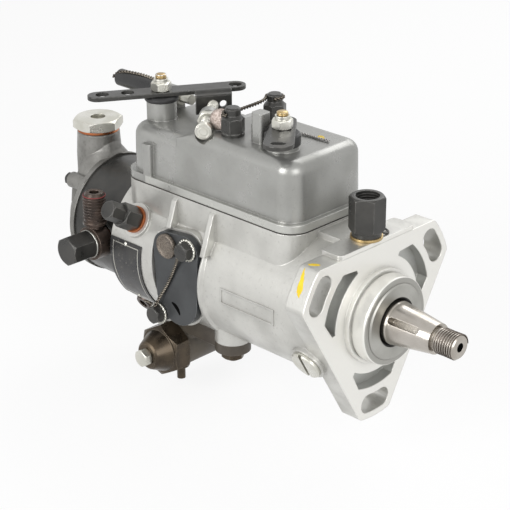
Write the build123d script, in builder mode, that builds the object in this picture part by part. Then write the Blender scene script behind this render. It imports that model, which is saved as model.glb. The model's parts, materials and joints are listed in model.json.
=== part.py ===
from build123d import *
from math import cos, radians, sin, sqrt
import os

# Rotary distributor injection pump with a mechanical governor, in millimetres.
# The origin is the centre of the mounting flange's front face. +X runs out along the drive
# shaft, +Z is up to the governor cover, and the inspection cover is on the -Y side.

# Clearances and fits
running_gap = 0.05
slip_gap = 0.3
seat_gap = 0.05

# Mounting flange and pilot spigot
flange_thickness = 12.8
flange_side_distance = 41.0
flange_lobe_reach = 62.2
flange_corner_radius = 3.5
lobe_angles = (30, 150, 270)
slot_pitch_radius = 53.0
slot_width = 11.4
slot_half_sweep = 6.16
window_inner_radius = 33.7
window_outer_radius = 43.0
window_inner_half_sweep = 31.3
window_outer_half_sweep = 19.0
window_depth = 7.0
spigot_radius = 25.0
spigot_length = 12.6
spigot_root_radius = 26.9
spigot_root_length = 3.0
spigot_groove_radius = 24.2
spigot_groove_width = 1.2

# Housing barrel
barrel_front_radius = 42.0
barrel_rear_radius = 43.5
barrel_step_x = -92.0
barrel_rear_x = -170.0
neck_radius = 40.0
cavity_radius = 37.0
cavity_front_x = -24.0
ring_bore_radius = 35.0
ring_bore_x = -120.0
head_bore_x = -147.0

# Blank cast panel on the near side
panel_x = -57.5
panel_length = 41.0
panel_height = 9.6

# Shaft, its bush, seal and seal retainer
journal_radius = 12.4
journal_rear_x = -28.0
bush_radius = 15.5
bush_rear_x = -23.0
bush_front_x = 2.0
seal_radius = 14.0
seal_rear_x = 5.0
retainer_radius = 21.5
retainer_thickness = 3.2
retainer_front_x = 13.6
taper_front_x = 42.0
taper_small_radius = 8.6
taper_large_radius = 12.1
shaft_thread_radius = 7.0
shaft_neck_radius = 6.1
shaft_neck_length = 1.6
shaft_end_x = 56.4
centre_hole_radius = 2.6
centre_hole_depth = 6.0
keyway_width = 4.0
keyway_depth = 2.4
keyway_length = 19.0
keyway_angle = 150

# Governor cover and the rail it sits on
rail_top_z = barrel_front_radius + 2.8
rail_bottom_z = 26.0
gasket_thickness = 0.8
cover_rear_x = -168.0
cover_front_x = -32.0
cover_half_width = 33.0
cover_corner_radius = 12.5
rim_height = 4.4
wall_inset = 2.6
cover_top_z = rail_top_z + 38.8
cover_draft = 1.2
cover_top_fillet = 7.0
cover_wall = 4.0
ramp_start_x = -108.0
ramp_drop = 6.0
ramp_length = 16.0
rail_wall = 6.5
wall_bar_x = -146.5
wall_bar_width = 6.4
wall_bar_reach = 2.8
wall_bar_top_z = cover_top_z - 14.6

# Cap nuts, posts and levers on the cover
cap_nut_x = -93.3
cap_nut_near_y = -15.6
cap_nut_far_y = 17.4
cap_nut_flange_radius = 6.5
cap_nut_across_flats = 11.6
cap_nut_hex_height = 10.2
cap_nut_crown_radius = 4.4
cap_nut_height = 16.0
cap_nut_neck_height = 11.6
stud_reach = 12.0
stud_radius = 3.0
plain_nut_across_flats = 10.0
post_x = -74.4
post_y = -13.0
post_width = 7.8
post_height = 17.0
post_fin_height = 9.0
post_fin_reach = 2.6

# Throttle shaft and arm
throttle_x = -156.0
throttle_y = -11.2
throttle_boss_radius = 8.7
throttle_boss_top_z = cover_top_z + 4.7
control_shaft_radius = 4.0
control_stud_radius = 3.0
control_collar_radius = 5.0
throttle_seal_radius = 9.8
throttle_seal_height = 3.0
throttle_angle = 58.0
throttle_arm_width = 12.0
throttle_arm_thickness = 2.5
throttle_arm_rear = 35.2
throttle_arm_front = 43.4
throttle_hole_radius = 3.8
throttle_hole_offsets = (-33.5, -19.3, 40.5)
tab_start = 19.5
tab_end = 38.0
tab_drop = 12.0
tab_hole_radius = 2.1
throttle_travel = 25.0

# Stop shaft and lever
stop_x = -58.9
stop_y = -12.4
stop_boss_radius = 9.0
stop_boss_top_z = cover_top_z + 2.4
stop_seal_radius = 10.0
stop_seal_height = 6.8
stop_angle = -51.5
stop_lever_thickness = 2.3
stop_lever_front = 31.0
stop_lever_rear = 19.0
stop_lever_front_half_width = 8.2
stop_lever_rear_half_width = 6.6
stop_slot_offset = 24.6
stop_slot_length = 8.2
stop_slot_width = 4.6

# Lock nuts of both control shafts
lock_nut_across_flats = 10.4
lock_nut_height = 7.2
lock_nut_crown_radius = 4.1

# Speed screws
speed_screw_radius = 3.0
speed_screw_head_radius = 4.7
speed_screw_head_height = 4.0
idle_screw_head_x = -105.4
idle_screw_head_y = -26.8
idle_screw_z = cover_top_z + 1.6
idle_screw_angle = 128.8
idle_lug_offset = 24.0
idle_length = 46.8
speed_lug_radius = 5.6
speed_lug_thickness = 6.0
max_screw_y = 8.0
max_screw_z = cover_top_z + 0.8
max_screw_tip_x = -150.9
max_screw_rear_x = -208.0
max_lug_front_x = -163.0
max_lug_rear_x = -171.0
sleeve_radius = 5.2
sleeve_rear_x = -214.5

# Hydraulic head and end plate
head_radius = 36.5
head_front_x = -148.0
head_rear_x = -210.0
end_plate_radius = 37.5
end_plate_rim = 3.6
end_plate_core_radius = 27.0
end_plate_rear_x = -226.0
inlet_x = -227.5
inlet_foot_x = -222.0
inlet_foot_rear_x = -225.5
inlet_top_z = 50.0
inlet_radius = 13.1
inlet_foot_radius = 13.9
inlet_bore_radius = 8.5
inlet_recess_radius = 4.6
inlet_plug_across_flats = 27.0
inlet_plug_height = 6.6
plate_screw_pitch_radius = 33.2
plate_screw_angles = (15, 135, 255)
plate_screw_boss_radius = 4.9
plate_screw_boss_length = 12.4
plate_screw_radius = 2.0
plate_screw_depth = 7.0
plate_screw_head = 7.0

# High-pressure outlets, spaced round the head
outlet_x = -183.5
outlet_angles = (179, 59, 299)
outlet_bolt_across_flats = 16.0
outlet_bolt_head_start = 48.5
outlet_bolt_end = 65.0
outlet_bolt_shank_radius = 5.0
banjo_radius = 10.2
banjo_inner = 38.0
banjo_outer = 47.0
nipple_radius = 6.4
nipple_length = 31.6
nipple_bore_radius = 3.0

# Copper washers
washer_thickness = 1.5
bolt_washer_radius = 8.4
lock_washer_radius = 7.9

# Head locking screw on the barrel's near side
lock_screw_x = -151.0
lock_screw_angle = 149.0
lock_boss_radius = 10.2
lock_boss_face = barrel_rear_radius + 1.7
lock_screw_radius = 4.5
lock_screw_across_flats = 13.0
lock_screw_hex_length = 12.0
vent_screw_across_flats = 10.0
vent_screw_length = 10.5

# Inspection cover on the barrel's near side
window_pad_face = barrel_rear_radius - 5.9
inspection_window_width = 18.0
inspection_window_height = 24.0
inspection_gasket = 0.4
inspection_plate = 4.2
inspection_left_x = -120.6
inspection_left_z = 13.8
inspection_left_radius = 11.6
inspection_right_x = -106.2
inspection_right_z = 16.7
inspection_right_radius = 10.3
inspection_bottom_x = -113.8
inspection_bottom_z = -13.5
inspection_bottom_radius = 16.6
inspection_ear_x = -128.4
inspection_ear_z = -27.4
inspection_ear_radius = 5.6
inspection_screw_x = -103.2
inspection_screw_z = 19.8
inspection_screw_radius = 3.0
inspection_screw_head = 9.6
inspection_washer_radius = 6.0

# Lead seals
side_seal_x = -119.7
side_seal_z = 17.5
side_seal_radius = 7.3
top_seal_x = -106.0
top_seal_y = -10.0

# Data plate, wrapped on the barrel
plate_front_x = -142.0
plate_rear_x = -168.5
plate_top_angle = 13.0
plate_bottom_angle = -42.0
plate_thickness = 0.6

# Automatic advance unit under the barrel
advance_x = -136.0
advance_z = -barrel_rear_radius - 13.5
advance_bore_radius = 9.5
advance_body_radius = 14.0
advance_body_half_length = 25.0
advance_block_half_width = 12.4
advance_block_half_length = 24.4
spring_cap_hex_length = 12.0
spring_cap_across_flats = 28.5
spring_cap_cone_length = 10.0
spring_cap_face_radius = 8.0
end_bolt_across_flats = 9.6
end_bolt_length = 5.0
end_plug_across_flats = 22.0
end_plug_length = 9.0
piston_length = 26.0
advance_travel_degrees = 6.0
foot_x = -92.0
foot_y = -19.0
foot_radius = 10.5
foot_seat_z = 2.0 - barrel_front_radius
foot_bottom_z = -barrel_front_radius - 4.2
foot_nut_across_flats = 12.0
foot_nut_height = 6.8
fitting_x = -142.5
fitting_y = -14.0
fitting_radius = 2.6
fitting_bottom_z = advance_z - 29.0

# Slotted plug on the barrel just behind the flange
neck_plug_x = -16.5
neck_plug_angle = 210.0
neck_plug_boss_radius = 10.8
neck_plug_boss_face = barrel_front_radius + 1.4
neck_plug_head_radius = 9.2
neck_plug_head_height = 2.4
neck_plug_shank_radius = 6.0
neck_plug_depth = 10.0
neck_plug_slot_width = 2.2
neck_plug_slot_depth = 1.5

# Return adapter on the flange
pad_half_length = 30.0
pad_top_z = flange_side_distance + 2.4
pad_corner_radius = 2.5
pad_rear_x = -15.2
adapter_x = -8.0
adapter_y = -1.0
adapter_across_flats = 17.4
adapter_turn = 32.0
adapter_height = 22.5
adapter_thread_radius = 6.6
adapter_shank_radius = 5.0
adapter_washer_radius = 8.8
adapter_neck = 2.6

# Governor inside the front of the housing
core_radius = 9.0
carrier_front_x = -31.0
carrier_plate = 2.0
carrier_radius = 35.5
carrier_wall = 2.0
carrier_rear_x = -57.0
weight_count = 4
weight_pivot_x = -36.0
weight_pivot_radius = 27.0
weight_nose_radius = 2.0
weight_toe_arm = 11.0
weight_half_width = 10.0
weight_rear_x = -54.0
weight_inner_radius = 19.6
weight_outer_radius = 25.4
weight_pin_radius = 1.5
weight_swing = 20.0
lug_thickness = 2.5
thrust_flange_radius = 19.0
thrust_flange_thickness = 2.5
thrust_tube_radius = 12.0
thrust_rear_flange_radius = 17.0
thrust_rear_x = -66.0
arm_pivot_z = barrel_front_radius - 5.0
arm_thickness = 3.0
arm_leg_inner = 12.0
arm_half_width = 16.0
arm_shoulder_z = arm_pivot_z + 11.0
arm_top_z = arm_pivot_z + 25.0
arm_nose_radius = 2.5
arm_pin_radius = 2.0
bracket_thickness = 2.0
bracket_half_width = 20.0
bracket_rear_x = -100.0
spring_coil_radius = 3.6
spring_wire_radius = 0.7

# Metering valve and the link from the governor arm
valve_x = -155.0
valve_radius = 4.0
valve_bottom_z = 16.0
valve_lever_z = rail_top_z + 7.2
valve_lever_reach = 9.0
valve_lever_thickness = 2.0
link_z = valve_lever_z + 4.0
link_radius = 1.5

# Pumping parts inside the rear of the housing
drive_plate_front_x = -121.0
drive_plate_thickness = 5.0
drive_plate_radius = 24.0
spline_root_radius = 6.6
spline_radius = 8.0
spline_count = 8
cam_ring_length = 20.0
cam_bore_radius = 26.0
cam_lobe_count = 6
cam_lobe_radius = 4.5
cam_lobe_height = 1.6
rotor_radius = 12.5
rotor_head_radius = 21.0
rotor_head_front_x = -127.0
rotor_head_rear_x = -145.5
roller_radius = 5.0
plunger_radius = 4.0
shoe_width = 13.0
transfer_front_x = -198.0
transfer_rotor_radius = 13.5
transfer_bore_radius = 16.0
transfer_offset = 1.5
liner_radius = 24.0
blade_thickness = 2.5
pin_radius = 3.6
pin_hole_radius = 5.0


def axis_plane(origin, direction):
    """Plane whose local x runs along the direction and whose local y runs out from it."""
    along = Vector(*direction).normalized()
    side = Vector(1, 0, 0) if abs(along.Z) > 0.9 else Vector(0, 0, 1)
    return Plane(origin=origin, x_dir=along, z_dir=along.cross(side))


def turn(points, origin, direction, mode=Mode.ADD):
    """Turned solid from points given as distance along the axis and radius."""
    with BuildSketch(axis_plane(origin, direction)) as profile:
        with BuildLine():
            Polyline(*points, close=True)
        make_face()
    revolve(profile.sketch, axis=Axis(origin, direction), mode=mode)


def bar(radius, start, end, origin, direction, mode=Mode.ADD):
    """Round bar between two distances along an axis."""
    turn([(start, 0), (end, 0), (end, radius), (start, radius)], origin, direction, mode)


def hex_bar(across_flats, start, end, origin, direction, bevel=1.0, rotation=0.0, mode=Mode.ADD):
    """Hexagonal bar between two distances along an axis, its corners bevelled at the ends."""
    along = Vector(*direction).normalized()
    base = Plane(origin=Vector(*origin) + along * start, z_dir=along)
    with BuildSketch(base, mode=Mode.PRIVATE) as hexagon:
        RegularPolygon(across_flats / 2, 6, major_radius=False, rotation=rotation)
    prism = extrude(hexagon.sketch, amount=end - start, mode=Mode.PRIVATE)
    corner = across_flats / sqrt(3) + 0.1
    flat = across_flats / 2 - 0.2
    with BuildSketch(axis_plane(origin, direction), mode=Mode.PRIVATE) as bevels:
        with BuildLine():
            Polyline((start, 0), (end, 0), (end, flat), (end - bevel, corner),
                     (start + bevel, corner), (start, flat), close=True)
        make_face()
    envelope = revolve(bevels.sketch, axis=Axis(origin, direction), mode=Mode.PRIVATE)
    add(prism & envelope, mode=mode)


def rounded_box(rear, front, half_width, corner, bottom, top, mode=Mode.ADD, draft=0.0):
    """Upright box with rounded corners, centred on the shaft's plane."""
    with BuildSketch(Plane.XY.offset(bottom)) as plan:
        with Locations(((rear + front) / 2, 0)):
            RectangleRounded(front - rear, 2 * half_width, corner)
    extrude(plan.sketch, amount=top - bottom, taper=draft, mode=mode)


def polar(radius, angle):
    """Y and Z of a point at a radius and an angle from +Y towards +Z."""
    return radius * cos(radians(angle)), radius * sin(radians(angle))


def flange_outline():
    """Three-lobed flange outline: a triangle of flats cut by the circle of the lobe ends."""
    Circle(flange_lobe_reach)
    RegularPolygon(flange_side_distance, 3, major_radius=False, rotation=-90, mode=Mode.INTERSECT)


def inspection_outline(margin=0.0):
    """Teardrop outline of the inspection cover with its lower screw ear."""
    with BuildSketch(mode=Mode.PRIVATE) as teardrop:
        with Locations((inspection_left_x, inspection_left_z)):
            Circle(inspection_left_radius + margin)
        with Locations((inspection_right_x, inspection_right_z)):
            Circle(inspection_right_radius + margin)
        with Locations((inspection_bottom_x, inspection_bottom_z)):
            Circle(inspection_bottom_radius + margin)
        make_hull()
    with BuildSketch(mode=Mode.PRIVATE) as ear:
        with Locations((inspection_ear_x, inspection_ear_z)):
            Circle(inspection_ear_radius + margin)
        with Locations((inspection_bottom_x, inspection_bottom_z)):
            Circle(inspection_ear_radius + margin)
        make_hull()
    add(teardrop.sketch_local)
    add(ear.sketch_local)


gasket_top_z = rail_top_z + gasket_thickness
rim_top_z = gasket_top_z + rim_height
throttle_centre = (throttle_x, throttle_y, 0)
stop_centre = (stop_x, stop_y, 0)
stud_places = ((cap_nut_x, cap_nut_near_y, 0), (cap_nut_x, cap_nut_far_y, 0))
near_direction = (0, -1, 0)
along_shaft = (1, 0, 0)
upwards = (0, 0, 1)
origin = (0, 0, 0)

cover_corner_wall = cover_corner_radius - wall_inset + 1.5
cam_ring_front_x = advance_x + cam_ring_length / 2
cam_ring_rear_x = advance_x - cam_ring_length / 2
cam_ring_radius = ring_bore_radius - running_gap
advance_swing = abs(advance_z) * sin(radians(advance_travel_degrees))
pin_slot_half_width = 5.0
pin_slot_near_y = -advance_swing - pin_slot_half_width
pin_slot_far_y = pin_slot_half_width

inspection_screw_places = (
    (inspection_screw_x, inspection_screw_z), (inspection_ear_x, inspection_ear_z))

# Openings in the housing roof
roof_floor_z = arm_pivot_z + 4.0
roof_half_width = cover_half_width - rail_wall
roof_rear_x = cover_rear_x + rail_wall
roof_front_x = cover_front_x - rail_wall
roof_window_half_width = 24.0
bridge_rear_x = -101.0
bridge_front_x = -86.0
window_front_x = -44.0
window_bottom_z = 18.0

lock_hex_start = lock_boss_face + washer_thickness
lock_origin = (lock_screw_x, 0, 0)
lock_direction = (0, *polar(1, lock_screw_angle))
neck_plug_origin = (neck_plug_x, 0, 0)
neck_plug_direction = (0, *polar(1, neck_plug_angle))

# Pump housing
with BuildPart() as pump_housing:
    turn([(barrel_rear_x, 0), (barrel_rear_x, barrel_rear_radius - 1),
          (barrel_rear_x + 1, barrel_rear_radius), (barrel_step_x - 1.5, barrel_rear_radius),
          (barrel_step_x, barrel_front_radius), (-flange_thickness, barrel_front_radius),
          (-flange_thickness, neck_radius), (-1, neck_radius), (-1, 0)], origin, along_shaft)
    # Rail under the governor cover
    rounded_box(cover_rear_x, cover_front_x, cover_half_width, cover_corner_radius,
                rail_bottom_z, rail_top_z)
    # Block that carries the return boss between the rail and the flange
    with BuildSketch(Plane.XY.offset(rail_bottom_z)):
        with Locations(((cover_front_x - 4 - flange_thickness) / 2, 0)):
            Rectangle(abs(cover_front_x) - flange_thickness + 8, 26)
    extrude(amount=pad_top_z - rail_bottom_z)
    # Flange plate
    with BuildSketch(Plane.YZ.offset(-flange_thickness)) as flange_sketch:
        flange_outline()
        fillet(flange_sketch.vertices(), flange_corner_radius)
    extrude(amount=flange_thickness)
    # Pad on top of the flange
    with BuildSketch(Plane.XY.offset(flange_side_distance - 2)):
        with Locations(((pad_rear_x - 0.4) / 2, 0)):
            RectangleRounded(abs(pad_rear_x) - 0.4, 2 * pad_half_length, pad_corner_radius)
    extrude(amount=pad_top_z - flange_side_distance + 2)
    # Boss of the slotted plug
    bar(neck_plug_boss_radius, neck_radius - 4, neck_plug_boss_face, neck_plug_origin, neck_plug_direction)
    # Pilot spigot with its root ring and groove
    turn([(-1, 0), (-1, spigot_root_radius), (spigot_root_length, spigot_root_radius),
          (spigot_root_length, spigot_groove_radius),
          (spigot_root_length + spigot_groove_width, spigot_groove_radius),
          (spigot_root_length + spigot_groove_width, spigot_radius),
          (spigot_length - 1, spigot_radius), (spigot_length, spigot_radius - 1),
          (spigot_length, 0)], origin, along_shaft)
    # Pad for the inspection cover, two ribs above it and the locking screw's boss
    with BuildSketch(Plane.XZ.offset(window_pad_face)):
        inspection_outline(1.4)
    extrude(amount=-20)
    for rib_x in (inspection_left_x - 1.6, inspection_right_x + 14.2):
        with BuildSketch(Plane.YZ.offset(rib_x - 1.8)):
            with BuildLine():
                Polyline((-cover_half_width + 0.3, rail_top_z - 1.5),
                         (-cover_half_width - 1.6, rail_top_z - 3),
                         (-barrel_rear_radius + 1, inspection_right_z + 2),
                         (-cover_half_width + 3, inspection_right_z + 2),
                         (-cover_half_width + 3, rail_top_z - 1.5), close=True)
            make_face()
        extrude(amount=3.6)
    bar(lock_boss_radius, head_radius + 1.5, lock_boss_face, lock_origin, lock_direction)
    bar(lock_boss_radius, lock_boss_face, lock_boss_face + 8, lock_origin, lock_direction, Mode.SUBTRACT)
    # Blank cast panel on the near side
    with BuildSketch(Plane.XZ.offset(barrel_front_radius - 1.2)):
        with Locations((panel_x, 0)):
            Rectangle(panel_length, panel_height)
            Rectangle(panel_length - 2, panel_height - 2, mode=Mode.SUBTRACT)
    extrude(amount=1.7)
    # Stud boss for the advance unit's foot
    bar(foot_radius, foot_seat_z, foot_seat_z + 20, (foot_x, foot_y, 0), upwards)
    # Inside: head bore, cam ring bore, governor chamber, bush bore, seal seat
    turn([(barrel_rear_x - 1, 0), (barrel_rear_x - 1, head_radius + running_gap),
          (head_bore_x, head_radius + running_gap), (head_bore_x, ring_bore_radius),
          (ring_bore_x, ring_bore_radius), (ring_bore_x, cavity_radius),
          (cavity_front_x - 8, cavity_radius), (cavity_front_x, cavity_radius - 8),
          (cavity_front_x, bush_radius), (seal_rear_x - 1, bush_radius),
          (seal_rear_x - 1, seal_radius + 0.4), (spigot_length - retainer_thickness, seal_radius + 0.4),
          (spigot_length - retainer_thickness, retainer_radius + running_gap),
          (spigot_length + 1, retainer_radius + running_gap), (spigot_length + 1, 0)],
         origin, along_shaft, Mode.SUBTRACT)
    # Roof pocket and its two windows, with the stud bridge left between them
    rounded_box(roof_rear_x, roof_front_x, roof_half_width, cover_corner_radius / 2,
                roof_floor_z, rail_top_z + 1, Mode.SUBTRACT)
    for rear, front in ((head_front_x - 2, bridge_rear_x), (bridge_front_x, window_front_x)):
        rounded_box(rear, front, roof_window_half_width, 4, window_bottom_z, roof_floor_z + 1,
                    Mode.SUBTRACT)
    # Metering valve passage at the rear of the roof
    with BuildSketch(Plane.XY.offset(window_bottom_z)):
        with Locations((valve_x, 0)):
            RectangleRounded(18, 2 * 14, 3)
    extrude(amount=roof_floor_z + 1 - window_bottom_z, mode=Mode.SUBTRACT)
    # Stud holes in the bridge
    for place in stud_places:
        bar(stud_radius + seat_gap, roof_floor_z - 5, roof_floor_z + 1, place, upwards, Mode.SUBTRACT)
    # Slots, windows and return passage in the flange
    with BuildSketch(Plane.YZ):
        for angle in lobe_angles:
            with BuildLine(mode=Mode.PRIVATE) as slot_line:
                CenterArc((0, 0), slot_pitch_radius, angle - slot_half_sweep, 2 * slot_half_sweep)
            SlotArc(slot_line.wire(), slot_width)
    extrude(amount=-flange_thickness - 12, mode=Mode.SUBTRACT)
    with BuildSketch(Plane.YZ):
        for angle in lobe_angles:
            with BuildLine():
                inner = CenterArc((0, 0), window_inner_radius, angle - window_inner_half_sweep,
                                  2 * window_inner_half_sweep)
                outer = CenterArc((0, 0), window_outer_radius, angle - window_outer_half_sweep,
                                  2 * window_outer_half_sweep)
                Polyline(inner @ 0, polar(window_inner_radius + 2.4, angle - window_inner_half_sweep),
                         outer @ 0)
                Polyline(inner @ 1, polar(window_inner_radius + 2.4, angle + window_inner_half_sweep),
                         outer @ 1)
            make_face()
    extrude(amount=-window_depth, mode=Mode.SUBTRACT)
    bar(adapter_shank_radius, cavity_radius - 12, pad_top_z + 1, (adapter_x, adapter_y, 0), upwards,
        Mode.SUBTRACT)
    # Milled seat of the inspection cover, its window, locking screw hole and cover screw holes
    with BuildSketch(Plane.XZ.offset(window_pad_face)):
        inspection_outline(1.4)
    extrude(amount=12, mode=Mode.SUBTRACT)
    with BuildSketch(Plane.XZ.offset(window_pad_face + 1)):
        with Locations((inspection_bottom_x, 0)):
            RectangleRounded(inspection_window_width, inspection_window_height, 6)
    extrude(amount=-14, mode=Mode.SUBTRACT)
    bar(lock_screw_radius + seat_gap, head_radius - 6, lock_boss_face + 1, lock_origin, lock_direction,
        Mode.SUBTRACT)
    bar(neck_plug_shank_radius + seat_gap, neck_plug_boss_face - neck_plug_depth - 1, neck_plug_boss_face + 1,
        neck_plug_origin, neck_plug_direction, Mode.SUBTRACT)
    for screw_x, screw_z in inspection_screw_places:
        bar(inspection_screw_radius + seat_gap, window_pad_face - 5.6, window_pad_face + 1,
            (screw_x, 0, screw_z), near_direction, Mode.SUBTRACT)
    bar(stud_radius + seat_gap, foot_seat_z - 1, foot_seat_z + 4.2, (foot_x, foot_y, 0), upwards,
        Mode.SUBTRACT)
    # Slot for the cam advance pin
    with BuildSketch(Plane.XY.offset(-barrel_rear_radius - 1)):
        with Locations((advance_x, (pin_slot_near_y + pin_slot_far_y) / 2)):
            RectangleRounded(2 * pin_slot_half_width, pin_slot_far_y - pin_slot_near_y, 2)
    extrude(amount=15, mode=Mode.SUBTRACT)
pump_housing.part.label = "pump_housing"

# Slotted plug in the boss behind the flange
with BuildPart() as neck_plug:
    plug_face = neck_plug_boss_face + neck_plug_head_height
    turn([(neck_plug_boss_face - neck_plug_depth, 0),
          (neck_plug_boss_face - neck_plug_depth, neck_plug_shank_radius),
          (neck_plug_boss_face, neck_plug_shank_radius), (neck_plug_boss_face, neck_plug_head_radius),
          (plug_face - 0.8, neck_plug_head_radius), (plug_face, neck_plug_head_radius - 0.8),
          (plug_face, 0)], neck_plug_origin, neck_plug_direction)
    slot_plane = Plane(origin=neck_plug_origin, x_dir=(1, 0, 0), z_dir=neck_plug_direction)
    with BuildSketch(slot_plane.offset(plug_face - neck_plug_slot_depth)) as slot:
        Rectangle(neck_plug_slot_width, 2 * neck_plug_head_radius + 1)
    extrude(slot.sketch, amount=neck_plug_slot_depth + 1, mode=Mode.SUBTRACT)
neck_plug.part.label = "neck_plug"

# Seal retainer, shaft seal and bush in the pilot spigot
retainer_rear_x = spigot_length - retainer_thickness
with BuildPart() as seal_retainer:
    turn([(retainer_rear_x, seal_radius + seat_gap), (retainer_rear_x, retainer_radius),
          (retainer_front_x - 0.8, retainer_radius), (retainer_front_x, retainer_radius - 0.8),
          (retainer_front_x, seal_radius + seat_gap)], origin, along_shaft)
seal_retainer.part.label = "seal_retainer"

with BuildPart() as shaft_seal:
    turn([(seal_rear_x, journal_radius + slip_gap), (seal_rear_x, seal_radius),
          (retainer_front_x - 0.6, seal_radius), (retainer_front_x - 0.6, journal_radius + slip_gap + 0.8),
          (retainer_front_x - 1.6, journal_radius + slip_gap)], origin, along_shaft)
shaft_seal.part.label = "shaft_seal"

with BuildPart() as drive_bush:
    turn([(bush_rear_x, journal_radius + running_gap), (bush_rear_x, bush_radius - seat_gap),
          (bush_front_x, bush_radius - seat_gap), (bush_front_x, journal_radius + running_gap)],
         origin, along_shaft)
drive_bush.part.label = "drive_bush"

# Drive shaft with its taper, keyway, thread and centre hole, and a splined rear end
spline_rear_x = drive_plate_front_x - drive_plate_thickness + 1
taper_rear_x = retainer_front_x + 2.4
with BuildPart() as drive_shaft:
    turn([(drive_plate_front_x, 0), (drive_plate_front_x, core_radius - 1),
          (drive_plate_front_x + 1, core_radius), (carrier_front_x, core_radius),
          (carrier_front_x, journal_radius), (taper_rear_x - 1, journal_radius),
          (taper_rear_x, taper_large_radius), (taper_front_x, taper_small_radius),
          (taper_front_x, shaft_neck_radius), (taper_front_x + shaft_neck_length, shaft_neck_radius),
          (taper_front_x + shaft_neck_length, shaft_thread_radius),
          (shaft_end_x - 1, shaft_thread_radius), (shaft_end_x, shaft_thread_radius - 1),
          (shaft_end_x, centre_hole_radius), (shaft_end_x - centre_hole_depth, 0)],
         origin, along_shaft)
    with BuildSketch(Plane.YZ.offset(spline_rear_x)):
        Circle(spline_root_radius)
        with PolarLocations(spline_root_radius, spline_count):
            Rectangle(2 * (spline_radius - spline_root_radius), 2.4)
    extrude(amount=drive_plate_front_x + 1 - spline_rear_x)
    with BuildSketch(Plane(origin=origin, x_dir=(1, 0, 0),
                           z_dir=(0, *polar(1, keyway_angle))).offset(taper_small_radius)) as keyway:
        with Locations((taper_rear_x + keyway_length / 2, 0)):
            SlotOverall(keyway_length, keyway_width)
    extrude(amount=-keyway_depth, mode=Mode.SUBTRACT)
    extrude(keyway.sketch, amount=taper_large_radius, mode=Mode.SUBTRACT)
drive_shaft.part.label = "drive_shaft"

# Flyweight carrier with a pair of pivot lugs for each weight
weight_angles = [45 + number * 360 / weight_count for number in range(weight_count)]


def radial_plane(angle):
    """Plane through the shaft axis whose local x runs along the shaft and local y outwards."""
    return Plane(origin=origin, x_dir=(1, 0, 0), z_dir=Vector(1, 0, 0).cross(Vector(0, *polar(1, angle))))


with BuildPart() as weight_retainer:
    turn([(carrier_front_x, core_radius + seat_gap), (carrier_front_x, carrier_radius - 1),
          (carrier_front_x - 1, carrier_radius), (carrier_rear_x, carrier_radius),
          (carrier_rear_x, carrier_radius - carrier_wall),
          (carrier_front_x - carrier_plate, carrier_radius - carrier_wall),
          (carrier_front_x - carrier_plate, core_radius + seat_gap)], origin, along_shaft)
    lug_offset = weight_half_width + slip_gap
    for angle in weight_angles:
        for side in (-1, 1):
            with BuildSketch(radial_plane(angle).offset(side * lug_offset)):
                with Locations((carrier_front_x - carrier_plate - 2.5, weight_pivot_radius)):
                    Rectangle(7, 6)
                with Locations((weight_pivot_x, weight_pivot_radius)):
                    Circle(weight_pin_radius + running_gap, mode=Mode.SUBTRACT)
            extrude(amount=side * lug_thickness)
weight_retainer.part.label = "weight_retainer"

# Flyweights, each a heavy block with a pivot pin and a toe that pushes the thrust sleeve
flyweights = []
nose_radius_at = weight_pivot_radius - weight_toe_arm
for number, angle in enumerate(weight_angles, start=1):
    with BuildPart() as flyweight:
        with BuildSketch(radial_plane(angle)):
            with BuildLine():
                Polyline((weight_rear_x, weight_inner_radius), (weight_pivot_x - 1.5, weight_inner_radius),
                         (weight_pivot_x - 1.5, nose_radius_at), (weight_pivot_x + 1.5, nose_radius_at),
                         (weight_pivot_x + 1.5, weight_pivot_radius),
                         (weight_pivot_x - 1.5, weight_pivot_radius),
                         (weight_pivot_x - 6, weight_outer_radius), (weight_rear_x, weight_outer_radius),
                         close=True)
            make_face()
            with Locations((weight_pivot_x, nose_radius_at)):
                Circle(weight_nose_radius)
            with Locations((weight_pivot_x, weight_pivot_radius)):
                Circle(weight_nose_radius + 0.4)
        extrude(amount=weight_half_width, both=True)
        with BuildSketch(radial_plane(angle)):
            with Locations((weight_pivot_x, weight_pivot_radius)):
                Circle(weight_pin_radius)
        extrude(amount=weight_half_width + slip_gap + lug_thickness, both=True)
    flyweight.part.label = f"flyweight_{number}"
    flyweights.append(flyweight)

# Thrust sleeve that slides on the shaft
thrust_front_x = weight_pivot_x - weight_nose_radius - slip_gap
with BuildPart() as thrust_sleeve:
    turn([(thrust_front_x, core_radius + running_gap), (thrust_front_x, thrust_flange_radius),
          (thrust_front_x - thrust_flange_thickness, thrust_flange_radius),
          (thrust_front_x - thrust_flange_thickness, thrust_tube_radius),
          (thrust_rear_x + thrust_flange_thickness, thrust_tube_radius),
          (thrust_rear_x + thrust_flange_thickness, thrust_rear_flange_radius),
          (thrust_rear_x, thrust_rear_flange_radius), (thrust_rear_x, core_radius + running_gap)],
         origin, along_shaft)
thrust_sleeve.part.label = "thrust_sleeve"

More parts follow.
